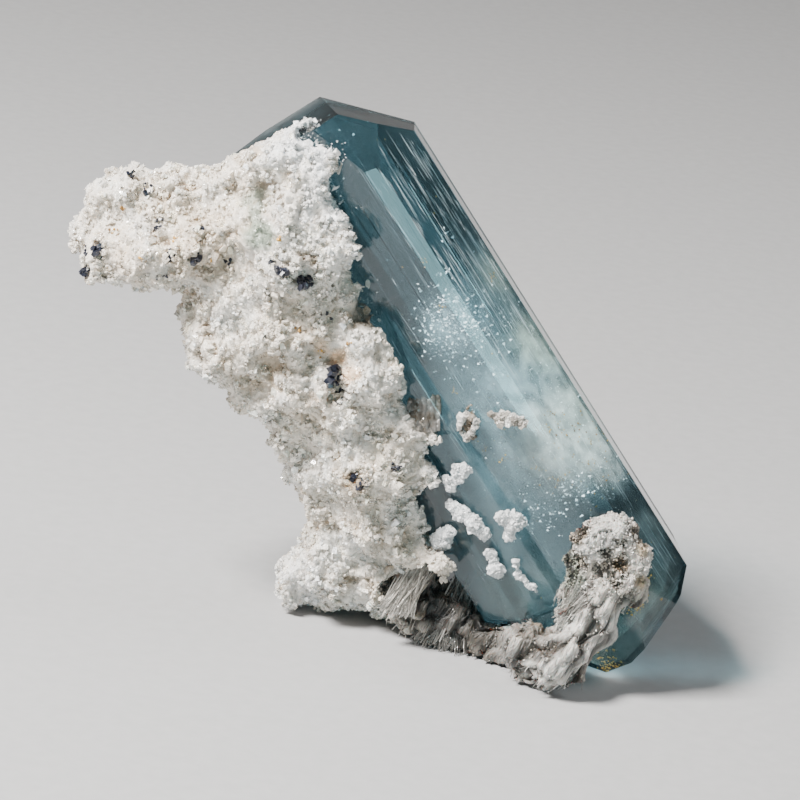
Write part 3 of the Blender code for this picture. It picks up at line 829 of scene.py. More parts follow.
# Faces with painted highlight lines along their striations: (azimuth, sideways from and to, height
# from and to, number of lines).
STRIATION_HIGHLIGHT_FACES = (
    (25, -2.6, 6.0, -16, 32, 130), (85, -5.5, 5.0, -34, 30, 60), (-5, -2.0, 2.0, -20, 26, 8),
    (-35, -5.0, 4.0, -6, 24, 16), (-95, -6.0, 6.0, -30, 30, 40), (145, -6.0, 6.0, -34, 30, 80),
    (175, -4.0, 4.0, -34, 30, 50), (-155, -6.0, 6.0, -34, 30, 80),
)
# The crystal's bounding box in its own frame, and how far inside it inclusions stay.
CRYSTAL_BOX = (-11.5, -11.5, -41.0), (11.5, 11.5, 37.0)
INNER_MARGIN = 0.3
TUBE_MARGIN = 0.2
LEAST_DEPTH = 0.35
OFF_CRYSTAL = -30.0


def haze_share(points):
    """How milky the crystal is at each point of the facing frame, and the milk's colour."""
    share = np.full(len(points), 0.015)
    colour = np.tile(HAZE_BLUE, (len(points), 1))
    for u, v, radius, strength, tone in HAZE_ZONES:
        x, y = at_pixel(u, v)
        away = np.hypot(points[:, 0] - x, points[:, 1] - y) / radius
        near = strength * np.exp(-away * away)
        colour += (tone - colour) * np.clip(near / (share + 0.3), 0.0, 1.0)[:, None]
        share = share + near
    return np.clip(share, 0.0, 1.0), np.clip(colour, 0.0, 1.0)


def moved_in(faces, inset):
    return tuple((azimuth, polar, distance - inset) for azimuth, polar, distance in faces)


def build_haze():
    """Milky shells at several depths under the faces, cloudy by place and clear elsewhere."""
    for name, prism, ends, inset, cell, thinnest, strength in HAZE_SHELLS:
        prism, ends = moved_in(prism, inset), moved_in(ends, inset)
        shell = grown_crystal(name, prism, ends, HAZE_STEP, 0.0)
        points = from_crystal(mesh_points(shell))
        share, colour = haze_share(points)
        set_layer(shell, "haze", share)
        set_tint(shell, colour)
        set_points(shell, stood(points))
        finished(shell, haze_finish(name, cell, thinnest, strength), "aquamarine")


def scattered_round(places, rng):
    """Random places on the face round the given ones, as x and y: normal, by each one's scatter."""
    rows = [np.tile((*at_pixel(u, v), scatter), (count, 1)) for u, v, scatter, count in places]
    rows = np.concatenate(rows)
    return (rows[:, :2] + rng.normal(0.0, 1.0, (len(rows), 2)) * rows[:, 2:]).T


def inner_places(places, spare, mean_depth, rng):
    """Random places under the crystal's front round the given ones, and spare ones throughout."""
    x, y = scattered_round(places, rng)
    depth = LEAST_DEPTH + rng.exponential(mean_depth, len(x))
    near = np.column_stack((x, y, crystal_front(x, y)[0] - depth))
    points = np.concatenate((near, from_crystal(rng.uniform(*CRYSTAL_BOX, (spare, 3)))))
    return points[depth_in_crystal(points) > INNER_MARGIN]


def ends_depth(points, length):
    """How far inside the crystal the outer end of each line along the c axis is."""
    reach = AXIS * length[:, None]
    return np.minimum(depth_in_crystal(points - reach), depth_in_crystal(points + reach))


def mottled(first, second, count, rng):
    """Tints at random places between two colours."""
    mix = rng.random((count, 1))
    return first * mix + second * (1 - mix)


def place_inclusions(name, solid, spots, turns, shape, tints, finish, slot="aquamarine"):
    copies = scattered(name, solid, spots, turns, shape, tints)
    finished(copies, inclusion_finish(*finish), slot)


def build_inclusions(rng):
    """Fine snow, growth tubes along the c axis, rusty specks, fracture plates with painted glints
    and ochre stains.
    """
    spots = inner_places(SNOW_PLACES, 1500, 1.3, rng)
    count = len(spots)
    size = 0.02 * np.exp(rng.normal(0.0, 0.7, (count, 1)))
    tints = SNOW_WHITE * rng.uniform(0.75, 1.05, (count, 1))
    shape = size * rng.uniform(0.4, 1.6, (count, 3))
    turns = random_turns(count, rng)
    place_inclusions("snow_flakes", FLAKE, spots, turns, shape, tints, ("inner_snow", 0.3))

    spots = inner_places(TUBE_PLACES, 260, 1.6, rng)
    length = np.clip(rng.lognormal(0.4, 0.6, len(spots)), 0.4, 4.0)
    inside = ends_depth(spots, length) > TUBE_MARGIN
    spots, length = spots[inside], length[inside]
    count = len(spots)
    ways = AXIS + rng.normal(0.0, 0.012, (count, 3))
    width = rng.uniform(0.01, 0.024, count)
    tints = SNOW_WHITE * rng.uniform(0.7, 1.0, (count, 1))
    shape = np.column_stack((width, width, length))
    turns = turns_along(ways, rng)
    place_inclusions("growth_tubes", NEEDLE, spots, turns, shape, tints, ("tube_white", 0.4))

    spots = inner_places(RUST_PLACES, 120, 0.4, rng)
    count = len(spots)
    shape = rng.uniform(0.06, 0.16, (count, 1)) * rng.uniform(0.6, 1.3, (count, 3))
    tints = mottled(OCHRE, RUST_BROWN, count, rng)
    turns = random_turns(count, rng)
    place_inclusions("rust_specks", GRAIN_TABLET, spots, turns, shape, tints, ("rust", 0.7))

    # Fracture plates: real fractures, tinted a pale silver that is painted reflection.
    spots = inner_places(GLINT_PLACES, 60, 0.9, rng)
    count = len(spots)
    size = rng.uniform(0.08, 0.3, count)
    shape = np.column_stack((size, size * rng.uniform(0.4, 1.0, count), size * 0.06))
    turns = turns_along(rng.normal(0.0, 0.5, (count, 3)) + (-0.2, 0.4, 1.0), rng)
    tints = np.tile(PAINTED_GLINT_SILVER, (count, 1))
    finish = ("fracture_painted_glint", 0.15)
    place_inclusions("fracture_glints", FLAKE, spots, turns, shape, tints, finish)

    x, y = scattered_round(STAIN_PLACES, rng)
    z, normals = crystal_front(x, y)
    on = z > OFF_CRYSTAL
    spots = np.column_stack((x, y, z))[on]
    count = len(spots)
    size = rng.uniform(0.08, 0.26, count)
    shape = np.column_stack((size, size * 0.8, np.full(count, 0.04)))
    tints = mottled(OCHRE, STAIN_GREEN, count, rng)
    turns = turns_along(normals[on], rng)
    stain = ("stain", 0.6), "stained_crust"
    place_inclusions("ochre_stains", FLAKE, spots, turns, shape, tints, *stain)


def build_striae(rng):
    """Fine white lines along a face's growth lines, which are real, their white a painted highlight
    of the light the striations catch: needles laid in the face.
    """
    centres, lengths = [], []
    for azimuth, side_low, side_high, low, high, count in STRIATION_HIGHLIGHT_FACES:
        distance = next(d for a, _, d in LARGE_PRISM if a == azimuth)
        normal = face_normal(azimuth, 90.0)
        tangent = np.array((-normal[1], normal[0], 0.0))
        side = rng.uniform(side_low, side_high, count)
        up = low + (high - low) * rng.beta(2.2, 1.2, count)
        place = normal * (distance - 0.03) + tangent * side[:, None]
        place[:, 2] = up
        centres.append(from_crystal(place))
        lengths.append(np.clip(rng.lognormal(0.3, 0.7, count), 0.25, 5.0))
    centres, length = np.concatenate(centres), np.concatenate(lengths)
    keep = ends_depth(centres, length) > -0.05
    centres, length = centres[keep], length[keep]
    count = len(centres)
    width = rng.uniform(0.009, 0.026, count)
    turns = turns_along(np.tile(AXIS, (count, 1)), rng)
    tints = STRIATION_HIGHLIGHT_WHITE * rng.uniform(0.6, 1.0, (count, 1))
    shape = np.column_stack((width, width, length))
    place_inclusions("striation_highlights", NEEDLE, centres, turns, shape, tints, ("painted_striation_highlight", 0.35))


# ---- albite

WHITE = np.array((0.90, 0.86, 0.80))
SNOW = np.array((0.95, 0.95, 0.95))
CREAM = np.array((0.86, 0.74, 0.60))
TAN = np.array((0.48, 0.32, 0.18))
ORANGE = np.array((0.95, 0.68, 0.46))
GREEN_GREY = np.array((0.32, 0.37, 0.29))
GREY_BROWN = np.array((0.20, 0.165, 0.125))
# Coloured zones of the albite in the facing frame: (x, y, radius, colour, strength). The grey-brown
# zones at (-4.5, 10.5) in the cavity, at (-16, 12.5) under the head and at (5, -26), (10, -28) and
# (17, -28.5) over the fans at the foot are painted shade.
ZONES = (
    (-24, 19, 9.0, CREAM, 0.75), (-36, 19, 6.0, CREAM, 0.6), (-33, 16.5, 4.0, TAN, 0.15),
    (-24, 16.5, 4.5, TAN, 0.22), (-11.5, 32, 7.0, SNOW, 1.0), (-8, 24, 5.0, SNOW, 0.6),
    (-13, -23, 5.0, SNOW, 0.6), (-9.6, 6.6, 1.5, ORANGE, 0.8), (-7.6, 5.4, 1.5, ORANGE, 0.95),
    (-5.9, 3.2, 1.4, ORANGE, 0.9), (-9, 1, 2.6, ORANGE, 0.35), (-17.2, 20, 2.8, GREEN_GREY, 0.95),
    (-17.5, 24, 2.2, GREEN_GREY, 0.8), (-12, -3, 6.0, CREAM, 0.45), (-4, -10, 6.0, CREAM, 0.5),
    # Painted shade: the grey-brown zone at (-4.5, 10.5) darkens the cavity, and the one at (-16,
    # 12.5) darkens the band under the head.
    (-4.5, 10.5, 2.6, GREY_BROWN, 0.9), (-5.5, -10.3, 2.4, TAN, 0.7),
    (3.2, -2.4, 3.4, GREY_BROWN, 0.75), (-16, 12.5, 4.0, GREY_BROWN, 0.12),
    # Painted shade: the grey-brown zones at (5, -26), (10, -28) and (17, -28.5) darken the fans at
    # the foot, which lie in shade.
    (5, -26, 5.5, GREY_BROWN, 0.95), (10, -28, 4.5, GREY_BROWN, 0.9),
    (17, -28.5, 3.6, GREY_BROWN, 0.8), (20.5, -21, 3.4, GREEN_GREY, 0.95),
    (20.5, -21, 2.4, GREY_BROWN, 0.5), (27.2, -20.4, 1.3, TAN, 0.95),
    (29.8, -18.5, 1.3, OCHRE, 0.5), (30, -22.5, 1.5, OCHRE, 0.6),
)
# Places with few grains: the plain plate, the glassy window, and the cavity at (-4.5, 10.8), left
# bare so that its painted shade shows: (x, y, radius).
BARE_PLACES = ((3.4, -1.8, 2.6), (-17.2, 20.0, 2.6), (-4.5, 10.8, 2.4))
BARE_SHARE = 0.2
SINGLE_GRAINS, NODULES, NODULE_GRAINS = 21500, 850, 10
# Shares of the matrix's grains that are wedges, tablets and glassy blocks.
GRAIN_SHARES = (0.48, 0.3, 0.22)
# Heights on the face between the foot's, the column's and the head's grains.
GRAIN_LEVELS = (-6.0, 13.0)
DUST, DUST_SPREAD = 8000, 1.2
SPIKES, SPIKE_SPREAD = 1500, 0.55
# Pixels of the face where a small dark grain or an ochre speck sits in the matrix.
DARK_SPECKS = (
    (90, 253), (80, 277), (133, 178), (108, 176), (155, 195), (164, 223), (205, 233), (178, 255),
    (232, 268), (280, 270), (310, 285), (168, 278), (325, 318), (360, 480), (395, 467), (340, 380),
    (345, 402), (338, 392), (563, 548), (572, 560), (566, 575), (580, 566), (575, 540), (585, 552),
)
OCHRE_SPECKS = (
    (180, 242), (183, 240), (283, 242), (118, 235), (128, 212), (350, 345), (322, 352), (150, 262),
    (214, 262), (300, 330),
)
SPECKS_EACH = 7
# Fans of blades in the facing frame: (root, first tip, last tip, number of blades, scatter at the
# root and at the tips, half width, least share of the way that a blade covers, brightness, which
# is painted shade where it is low, for the fans that lie in shade).
FANS = (
    ((3.4, -20.2, -3.9), (-2.4, -26.2, -4.8), (1.4, -26.6, -3.8), 420, 0.8, 0.45, 0.07, 0.35, 0.8),
    ((8.0, -22.5, -7.6), (1.5, -30.0, -8.0), (8.5, -31.5, -6.6), 300, 1.3, 0.7, 0.1, 0.3, 0.45),
    ((23.6, -23.2, 4.4), (19.6, -26.6, 3.4), (21.0, -29.4, 3.0), 600, 1.2, 0.6, 0.055, 0.15, 0.9),
)
# Hollows of the wrap in the facing frame: (x, y, half width, half height, depth).
WRAP_HOLLOWS = (
    (27.2, -20.4, 1.3, 0.9, 1.4), (20.8, -15.4, 2.2, 1.8, 1.8), (30.0, -15.6, 1.8, 1.5, 1.4),
    (21.0, -20.5, 1.6, 2.2, 0.9),
)
LAID_FIBRES, CRUST_GRAINS = 4200, 15000
FIBRE_WAY = np.array((-0.52, -0.84, -0.15)) / math.sqrt(0.52**2 + 0.84**2 + 0.15**2)
FIBRE_SIDE = unit(np.cross(FIBRE_WAY, (0.0, 0.0, 1.0)))
FIBRE_FRAME = np.column_stack((FIBRE_SIDE, np.cross(FIBRE_WAY, FIBRE_SIDE), FIBRE_WAY))
# Above this line on the face the crust's crest lies lower, so the crystal's edge shows over it.
CREST_WAY = np.array((-0.45, 0.893, 0.0))
CREST_LEVEL = 36.3
GRAIN_INSET, LUMP_CELL, KNOB_CELL = 0.12, 2.7, 1.15
ALBITE_VOXEL, CLEAVELANDITE_VOXEL, SMALL_VOXEL, PLATE_VOXEL = 0.42, 0.3, 0.2, 0.16


def sunk_depth(points):
    """How far the matrix is sunk: domed lumps and smaller knobs with creases between, and pits."""
    warped = points + 0.5 * drifts(points, 1.9)
    lumps, knobs = domes(warped, LUMP_CELL, SEED), domes(warped, KNOB_CELL, SEED + 7)
    pits = fade(layered_noise(points, 4.2, SEED + 11), 0.28, 0.6)
    return GRAIN_INSET + 1.6 * lumps + 0.7 * knobs + 1.2 * pits


def above_crest(points):
    """How far points stand above the crest's line as seen from the front; none away from it."""
    seen = points * (CAMERA_DISTANCE / (CAMERA_DISTANCE - points[:, 2:]))
    over = seen @ CREST_WAY - CREST_LEVEL - 0.5 * smooth_noise(points, 1.5, SEED)
    near = fade(seen[:, 0], -25.0, -21.5) * fade(-seen[:, 0], 7.0, 9.0)
    return np.maximum(over, 0.0) * near


def below_crest(points):
    """Presses what stands above the crest's line back towards it, so the crystal's edge shows."""
    return points - CREST_WAY * (above_crest(points) * 0.93)[:, None]


def albite_tint(points, seed=SEED, sunk=0.0):
    """White, drawn to each zone's colour by distance, darkened to tan in the creases as painted
    shade, with tan specks.
    """
    colour = np.tile(WHITE, (len(points), 1))
    warm = fade(layered_noise(points, 5.0, seed), -0.3, 0.4)[:, None] * 0.6
    colour += (CREAM - colour) * warm
    # Painted shade: the deeper a point is sunk into a crease, the more it is darkened to tan.
    painted_crease_shade = (fade(sunk * np.ones(len(points)), 0.6, 1.9) * 0.75)[:, None]
    colour += (0.7 * TAN + 0.3 * CREAM - colour) * painted_crease_shade
    for x, y, radius, tone, strength in ZONES:
        away = np.hypot(points[:, 0] - x, points[:, 1] - y)
        away += radius * 0.35 * smooth_noise(points, 1.6, seed + 2)
        share = strength * fade(-away, -radius, -radius * 0.3)
        colour += (tone - colour) * share[:, None]
    speck = fade(smooth_noise(points, 0.8, seed + 4), 0.62, 0.8)[:, None] * 0.4
    return colour + (TAN - colour) * speck


def nodule_spots(body, sunk, rng):
    """Places for grains over small domes whose middles lie on the body."""
    spots, normals, depth = surface_spots(body, NODULES, rng, sunk)
    radius = rng.uniform(0.35, 1.05, NODULES)
    rows = np.column_stack((spots, normals, radius, depth))
    rows = np.repeat(rows, NODULE_GRAINS, axis=0)
    spots, normals, radius, depth = rows[:, :3], rows[:, 3:6], rows[:, 6], rows[:, 7]
    ways = unit(rng.normal(size=spots.shape))
    ways *= np.where((ways * normals).sum(axis=1) < -0.1, -1.0, 1.0)[:, None]
    size = radius * rng.uniform(0.28, 0.5, len(radius))
    return spots + ways * (radius - size * 0.4)[:, None], size, depth * 0.6


def grain_spots(body, sunk, rng):
    """Every grain of the matrix: single grains all over it, and grains gathered into domes."""
    spots, normals, depth = surface_spots(body, SINGLE_GRAINS, rng, sunk)
    size = np.clip(0.19 * np.exp(rng.normal(0.0, 0.5, SINGLE_GRAINS)), 0.08, 0.75)
    spots = spots + normals * (size * rng.uniform(-0.1, 0.5, SINGLE_GRAINS))[:, None]
    nodules = nodule_spots(body, sunk, rng)
    spots, size, depth = (np.concatenate(both) for both in zip((spots, size, depth), nodules))
    spots = below_crest(spots)
    keep = kept_in_box(spots, size * 1.2) & (depth_in_crystal(spots) < -0.1)
    keep &= above_crest(spots) < 0.3
    for x, y, radius in BARE_PLACES:
        bare = np.hypot(spots[:, 0] - x, spots[:, 1] - y) < radius
        keep &= ~bare | (rng.random(len(spots)) < BARE_SHARE)
    return spots[keep], size[keep], depth[keep]


def grain_pieces(body, sunk, rng):
    """Small angular grains turned every way: white ones in three pieces, and glassy ones."""
    spots, size, depth = grain_spots(body, sunk, rng)
    count = len(spots)
    stretch = rng.uniform((0.75, 0.75, 0.8), (1.2, 1.2, 1.7), (count, 3)) * size[:, None]
    turns = random_turns(count, rng)
    tone = np.exp(rng.normal(-0.02, 0.14, (count, 1)))
    # The grains take the painted shade of the creases they sit in.
    tints = albite_tint(spots, sunk=depth) * tone
    kind = rng.choice(3, count, p=GRAIN_SHARES)
    band = np.digitize(spots[:, 1], GRAIN_LEVELS)

    def grains(name, shape, chosen):
        place = (spots[chosen], turns[chosen], stretch[chosen], tints[chosen])
        return scattered(name, shape, *place)

    pieces = []
    for level, region in enumerate(("foot", "column", "head")):
        blocks = grains(f"{region}_blocks", GRAIN_WEDGE, (band == level) & (kind == 0))
        tablets = grains(f"{region}_tablets", GRAIN_TABLET, (band == level) & (kind == 1))
        pieces.append(joined(f"albite_grains_{region}", [blocks, tablets]))
    return pieces, grains("glassy_grains", GRAIN_BLOCK, kind == 2)


def border_spots(body, count, spread, rng):
    """Places on the crystal's front near where the matrix meets it, thinning out away from it."""
    spots = surface_spots(body, count * 12, rng)[0]
    spots = spots[depth_in_crystal(spots) > -1.3][:count]
    x, y = (spots[:, :2] + rng.normal(0.0, 1.0, (len(spots), 2)) * spread).T
    z, normals = crystal_front(x, y)
    keep = np.abs(z - spots[:, 2]) < 1.8
    return np.column_stack((x, y, z))[keep], normals[keep]


def build_border(body, rng):
    """Loose dust and spiky flakes on the crystal beside the matrix."""
    spots, normals = border_spots(body, DUST, DUST_SPREAD, rng)
    low = above_crest(spots) < 0.4
    spots, normals = spots[low], normals[low]
    count = len(spots)
    size = 0.05 * np.exp(rng.normal(0.0, 0.5, (count, 1)))
    spots = spots + normals * size * 0.3
    shape = size * rng.uniform(0.6, 1.4, (count, 3))
    tints = SNOW * rng.uniform(0.7, 1.0, (count, 1))
    turns, finish = random_turns(count, rng), ("dust_white", 0.4)
    place_inclusions("surface_dust", FLAKE, spots, turns, shape, tints, finish, "albite")

    spots, normals = border_spots(body, SPIKES, SPIKE_SPREAD, rng)
    top = rng.random(len(spots)) < 0.35 + 0.65 * fade(spots[:, 1], 12.0, 22.0)
    spots, normals = spots[top], normals[top]
    count = len(spots)
    ways = unit(normals * rng.uniform(0.1, 1.0, (count, 1)) + rng.normal(0.0, 0.6, (count, 3)))
    length = rng.uniform(0.35, 1.3, (count, 1))
    outward = unit(rng.normal(size=(count, 3)))
    bows = rng.normal(0.0, 0.06, (count, 3))
    tints = albite_tint(spots) * rng.uniform(0.85, 1.15, (count, 1))
    widths = length[:, 0] * rng.uniform(0.15, 0.4, count)
    sizes = widths, rng.uniform(0.04, 0.12, count), tints, tints, rng.uniform(-1.2, 1.2, count)
    lines = spots - ways * 0.2, spots + ways * length, bows, outward
    flakes = blades("spiky_flakes", *lines, *sizes)
    finished(flakes, albite_finish("flake_albite", 0.2, 0.3, 0.15), "albite")


def pixel_spots(tree, places):
    """Where lines from the viewer through the given pixels meet a surface, in the facing frame."""
    starts = [Vector((*at_pixel(u, v), 40.0)) for u, v in places]
    hits = [tree.ray_cast(start, Vector((0.0, 0.0, -1.0)))[0] for start in starts]
    return np.array([tuple(hit) for hit in hits if hit is not None])


def build_plate(rng):
    """The thin broken plate beside the column: an outline with a jagged top, given a thickness."""
    x = np.linspace(5.1, 0.8, 34)
    top = 0.75 - 0.22 * np.abs(x - 3.6) + rng.uniform(-0.45, 0.45, len(x))
    rim = np.concatenate((np.column_stack((x, top)), ((0.7, -3.6), (2.6, -4.3), (5.0, -3.9))))
    sides = len(rim)
    front = np.column_stack((rim, np.full(sides, 5.9) - 0.06 * (rim[:, 0] - 3.0)))
    points = np.concatenate((front, front - (0.0, 0.0, 0.55)))
    around = np.arange(sides)
    after = np.roll(around, -1)
    walls = np.column_stack((around, around + sides, after + sides, after))
    obj = mesh_object("cleavage_plate", points, [walls, [around], [around[::-1] + sides]])
    points = mesh_points(evened(obj, PLATE_VOXEL))
    points = sunk_points(obj, 0.3 * domes(points / (0.5, 1.4, 1.0), 1.0, SEED + 31))
    stain = fade(layered_noise(points, 1.0, SEED + 33), -0.3, 0.4)[:, None]
    set_tint(obj, 0.4 * GREY_BROWN * (1 - stain) + 0.14 * WHITE * stain)
    set_points(obj, stood(points))
    finished(obj, albite_finish("plate_albite", 0.1, 0.3, 0.5, 0.4), "albite")


def build_specks(tree, rng):
    """Small dark grains and ochre specks set in the matrix."""
    dark = dark_mineral_finish("dark_speck"), "dark_mineral"
    ochre = inclusion_finish("ochre", 0.75), "stained_crust"
    for name, places, spread, size, look in (
        ("dark_specks", DARK_SPECKS, 0.4, 0.3, dark),
        ("ochre_specks", OCHRE_SPECKS, 0.25, 0.17, ochre),
    ):
        middles = np.repeat(pixel_spots(tree, places), SPECKS_EACH, axis=0)
        spots = middles + rng.normal(0.0, spread, middles.shape) * (1.0, 1.0, 0.4)
        spots = spots + (0.0, 0.0, 0.12)
        count = len(spots)
        shape = size * np.exp(rng.normal(0.0, 0.35, (count, 1)))
        shape = shape * rng.uniform(0.7, 1.3, (count, 3))
        tints = mottled(OCHRE, RUST_BROWN, count, rng)
        turns = random_turns(count, rng)
        finished(scattered(name, GRAIN_TABLET, spots, turns, shape, tints), *look)


def build_albite(rng):
    """The matrix: its solid's form sunk by pits and creases, with grains, dust and specks on it."""
    body = remeshed_copy("albite_body", ["albite_matrix"], ALBITE_VOXEL)
    sunk = sunk_depth(mesh_points(body))
    set_points(body, below_crest(sunk_points(body, sunk)))
    grains, glassy = grain_pieces(body, sunk, rng)
    build_border(body, rng)
    points = mesh_points(body)
    faces = [tuple(face.vertices) for face in body.data.polygons]
    tree = BVHTree.FromPolygons([tuple(point) for point in points], faces)
    build_specks(tree, rng)
    build_plate(rng)
    # The body takes the painted shade of its creases.
    set_tint(body, albite_tint(points, sunk=sunk) * 0.85)
    set_points(body, stood(points))
    body.data.shade_smooth()
    finished(body, albite_finish("albite_body", 0.3, 0.55, 0.3), "albite", "albite_matrix")
    sugar = albite_finish("albite_grains", 0.25, 0.3, 0.12)
    for piece in grains:
        finished(piece, sugar, "albite")
    finished(glassy, clear_grain_finish(), "albite")
    return tree


# ---- bladed albite


def bundle_depth(points):
    """Sinks a body between bundles: cell noise drawn out along the blades' run."""
    placed = points @ FIBRE_FRAME + 0.35 * drifts(points, 1.4)
    bundles = domes(placed / (1.0, 1.0, 3.2), 1.7, SEED + 9)
    strands = domes(placed / (1.0, 1.0, 5.0), 0.8, SEED + 12)
    return 0.1 + 2.0 * bundles + 0.45 * strands


def crusted(points):
    """1 on the upper wrap, which is a lacy crust of grains, and 0 where the blades are bare."""
    return fade(points[:, 1], -26.0, -22.0) * fade(points[:, 0], 19.0, 21.0)


def painted_shade(points):
    """Painted shade on the bladed albite: dark grey in the middle, which lies in shade, paler at
    tips and bundles.
    """
    share = 0.2 + 0.45 * fade(points[:, 0], 11.0, 17.0)
    tips = np.exp(-(((points[:, 0] - 3.0) / 4.0) ** 2) - ((points[:, 1] + 31.5) / 1.3) ** 2)
    left = fade(-points[:, 0], -4.5, -2.0)
    return np.clip(share + 0.5 * tips + 0.45 * left, 0.0, 1.0)[:, None]


def fan_blades(rng):
    """Every blade of every fan: from a place near the root to a place along the line of tips."""
    rows = []
    for root, first, last, count, root_spread, tip_spread, width, least, tone in FANS:
        share = rng.random((count, 1))
        starts = np.array(root) + rng.normal(0.0, root_spread, (count, 3)) * (1.0, 1.0, 0.6)
        tips = np.array(first) * (1 - share) + np.array(last) * share
        tips = tips + rng.normal(0.0, tip_spread, (count, 3)) * (0.6, 1.0, 0.8)
        begin = rng.uniform(0.0, 1.0 - least, (count, 1))
        starts = starts + (tips - starts) * begin
        widths = width * np.exp(rng.normal(0.0, 0.35, (count, 1)))
        rows.append(np.column_stack((starts, tips, widths, np.full(count, tone))))
    table = np.concatenate(rows)
    for ends in (table[:, :3], table[:, 3:6]):
        front = crystal_front(ends[:, 0], ends[:, 1])[0] + 0.2
        ends[:, 2] = np.where(ends[:, 2] > 0.0, np.maximum(ends[:, 2], front), ends[:, 2])
    return table[:, :3], table[:, 3:6], table[:, 6], table[:, 7]


def laid_fibres(body, sunk, rng):
    """Short fibres over a body: each starts on it and runs the blades' way along its surface."""
    spots, normals, depth = surface_spots(body, LAID_FIBRES, rng, sunk)
    bare = rng.random(LAID_FIBRES) > np.maximum(crusted(spots), 0.85 * fade(depth, 0.5, 1.1))
    spots, normals, depth = spots[bare], normals[bare], depth[bare]
    count = len(spots)
    ways = FIBRE_WAY + rng.normal(0.0, 0.16, (count, 3))
    ways = ways - normals * (ways * normals).sum(axis=1)[:, None]
    ways = unit(ways) + normals * rng.uniform(-0.04, 0.06, (count, 1))
    length = np.clip(rng.lognormal(0.0, 0.4, (count, 1)), 0.4, 1.8)
    starts = spots - normals * 0.06
    # Painted shade: fibres that lie deeper in the grooves between bundles are darker.
    tones = 1.0 - 0.75 * fade(depth, 0.3, 1.0)
    return starts, starts + ways * length, normals, rng.uniform(0.03, 0.085, count), tones


def build_blades(body, sunk, rng):
    """The bladed albite's fans, and the finer fibres that cover it."""
    starts, ends, widths, tones = fan_blades(rng)
    outward = unit(rng.normal(0.0, 0.4, (len(starts), 3)) + (0.35, -0.2, 1.0))
    laid_rows = laid_fibres(body, sunk, rng)
    kept = kept_in_box(laid_rows[1], np.full(len(laid_rows[1]), 0.1))
    fans = (starts, ends, outward, widths, tones)
    both = [np.concatenate((fan, fibre[kept])) for fan, fibre in zip(fans, laid_rows)]
    starts, ends, outward, widths, tones = both
    count = len(starts)
    bows = rng.normal(0.0, 0.08, (count, 3)) + outward * 0.08
    # Painted shade: each blade is darkened by the shade painted where it ends, on top of its fan's
    # or groove's painted shade.
    tones = tones[:, None] * painted_shade(ends) * rng.uniform(0.45, 1.3, (count, 1))
    tints = albite_tint(starts) * tones
    pale = (0.7 * tints + 0.3 * WHITE * tones) * rng.uniform(0.95, 1.3, (count, 1))
    sizes = widths, widths * rng.uniform(0.25, 0.8, count), tints, pale
    slants = rng.uniform(-0.9, 0.9, count)
    obj = blades("cleavelandite_blades", starts, ends, bows, outward, *sizes, slants)
    finished(obj, albite_finish("blade_albite", 0.2, 0.4, 0.2, 0.5), "bladed_albite")


def build_wrap_crust(body, sunk, rng):
    """The lacy crust on the wrap: fine grains over the upper part of the bladed albite."""
    spots, normals, depth = surface_spots(body, CRUST_GRAINS, rng, sunk)
    size = np.clip(0.12 * np.exp(rng.normal(0.0, 0.4, CRUST_GRAINS)), 0.05, 0.35)
    keep = rng.random(CRUST_GRAINS) < 0.1 + 0.9 * crusted(spots)
    spots = spots + normals * (size * rng.uniform(-0.2, 1.4, CRUST_GRAINS))[:, None]
    keep &= kept_in_box(spots, size * 1.2) & (depth_in_crystal(spots) < -0.05)
    spots, size, depth = spots[keep], size[keep], depth[keep]
    count = len(spots)
    # Painted shade: the grains are darkened in the creases they sit in and, off the crust, in the
    # middle of the bladed albite.
    tints = albite_tint(spots, sunk=depth) * np.exp(rng.normal(-0.25, 0.2, (count, 1)))
    tints *= 1.0 - (1.0 - painted_shade(spots)) * (1.0 - crusted(spots))[:, None]
    shape = size[:, None] * rng.uniform(0.7, 1.4, (count, 3))
    grains = scattered("wrap_grains", GRAIN_WEDGE, spots, random_turns(count, rng), shape, tints)
    finished(grains, albite_finish("wrap_albite", 0.25, 0.35, 0.12), "bladed_albite")


def build_cleavelandite(rng):
    """The bladed albite: its solid's form sunk between bundles, with its crust and its blades."""
    obj = remeshed_copy("cleavelandite_body", ["cleavelandite"], CLEAVELANDITE_VOXEL)
    points = mesh_points(obj)
    sunk = bundle_depth(points) * (1.0 - 0.6 * crusted(points))
    for x, y, wide, high, depth in WRAP_HOLLOWS:
        away = np.hypot((points[:, 0] - x) / wide, (points[:, 1] - y) / high)
        sunk += depth * np.exp(-away * away) * fade(points[:, 2], 0.0, 2.0)
    sunk += 1.0 * fade(layered_noise(points, 1.6, SEED + 17), 0.0, 0.5) * crusted(points)
    set_points(obj, sunk_points(obj, sunk))
    build_wrap_crust(obj, sunk, rng)
    build_blades(obj, sunk, rng)
    points = mesh_points(obj)
    # Painted shade: darker in the grooves between bundles, in the creases and in the middle of the
    # bladed albite.
    shade = (1.0 - 0.85 * fade(sunk, 0.4, 1.2))[:, None] * painted_shade(points)
    set_tint(obj, albite_tint(points, sunk=sunk) * shade)
    set_points(obj, stood(boxed(points)))
    obj.data.shade_smooth()
    finished(obj, fibrous_finish("bladed_albite"), "bladed_albite", "cleavelandite")


# ---- small clusters and dark crystals

ROSETTE_NODES = [f"albite_rosette_{number}" for number in range(1, 7)]
FRAGMENT_NODES = ["crust_fragment_1", "crust_fragment_2"]
DARK_NODES = [f"dark_crystal_{number}" for number in range(1, 8)]
DARK_BLOCKS = 9
PIT_GRAINS = 160
# Grains on a small cluster: (count, middle size in mm, how far they may stand out, shape).
CLUSTER_GRAINS = ((700, 0.27, 0.25, GRAIN_TABLET), (1900, 0.13, 0.6, GRAIN_WEDGE))


def rosette_tint(points):
    return np.tile(SNOW, (len(points), 1))


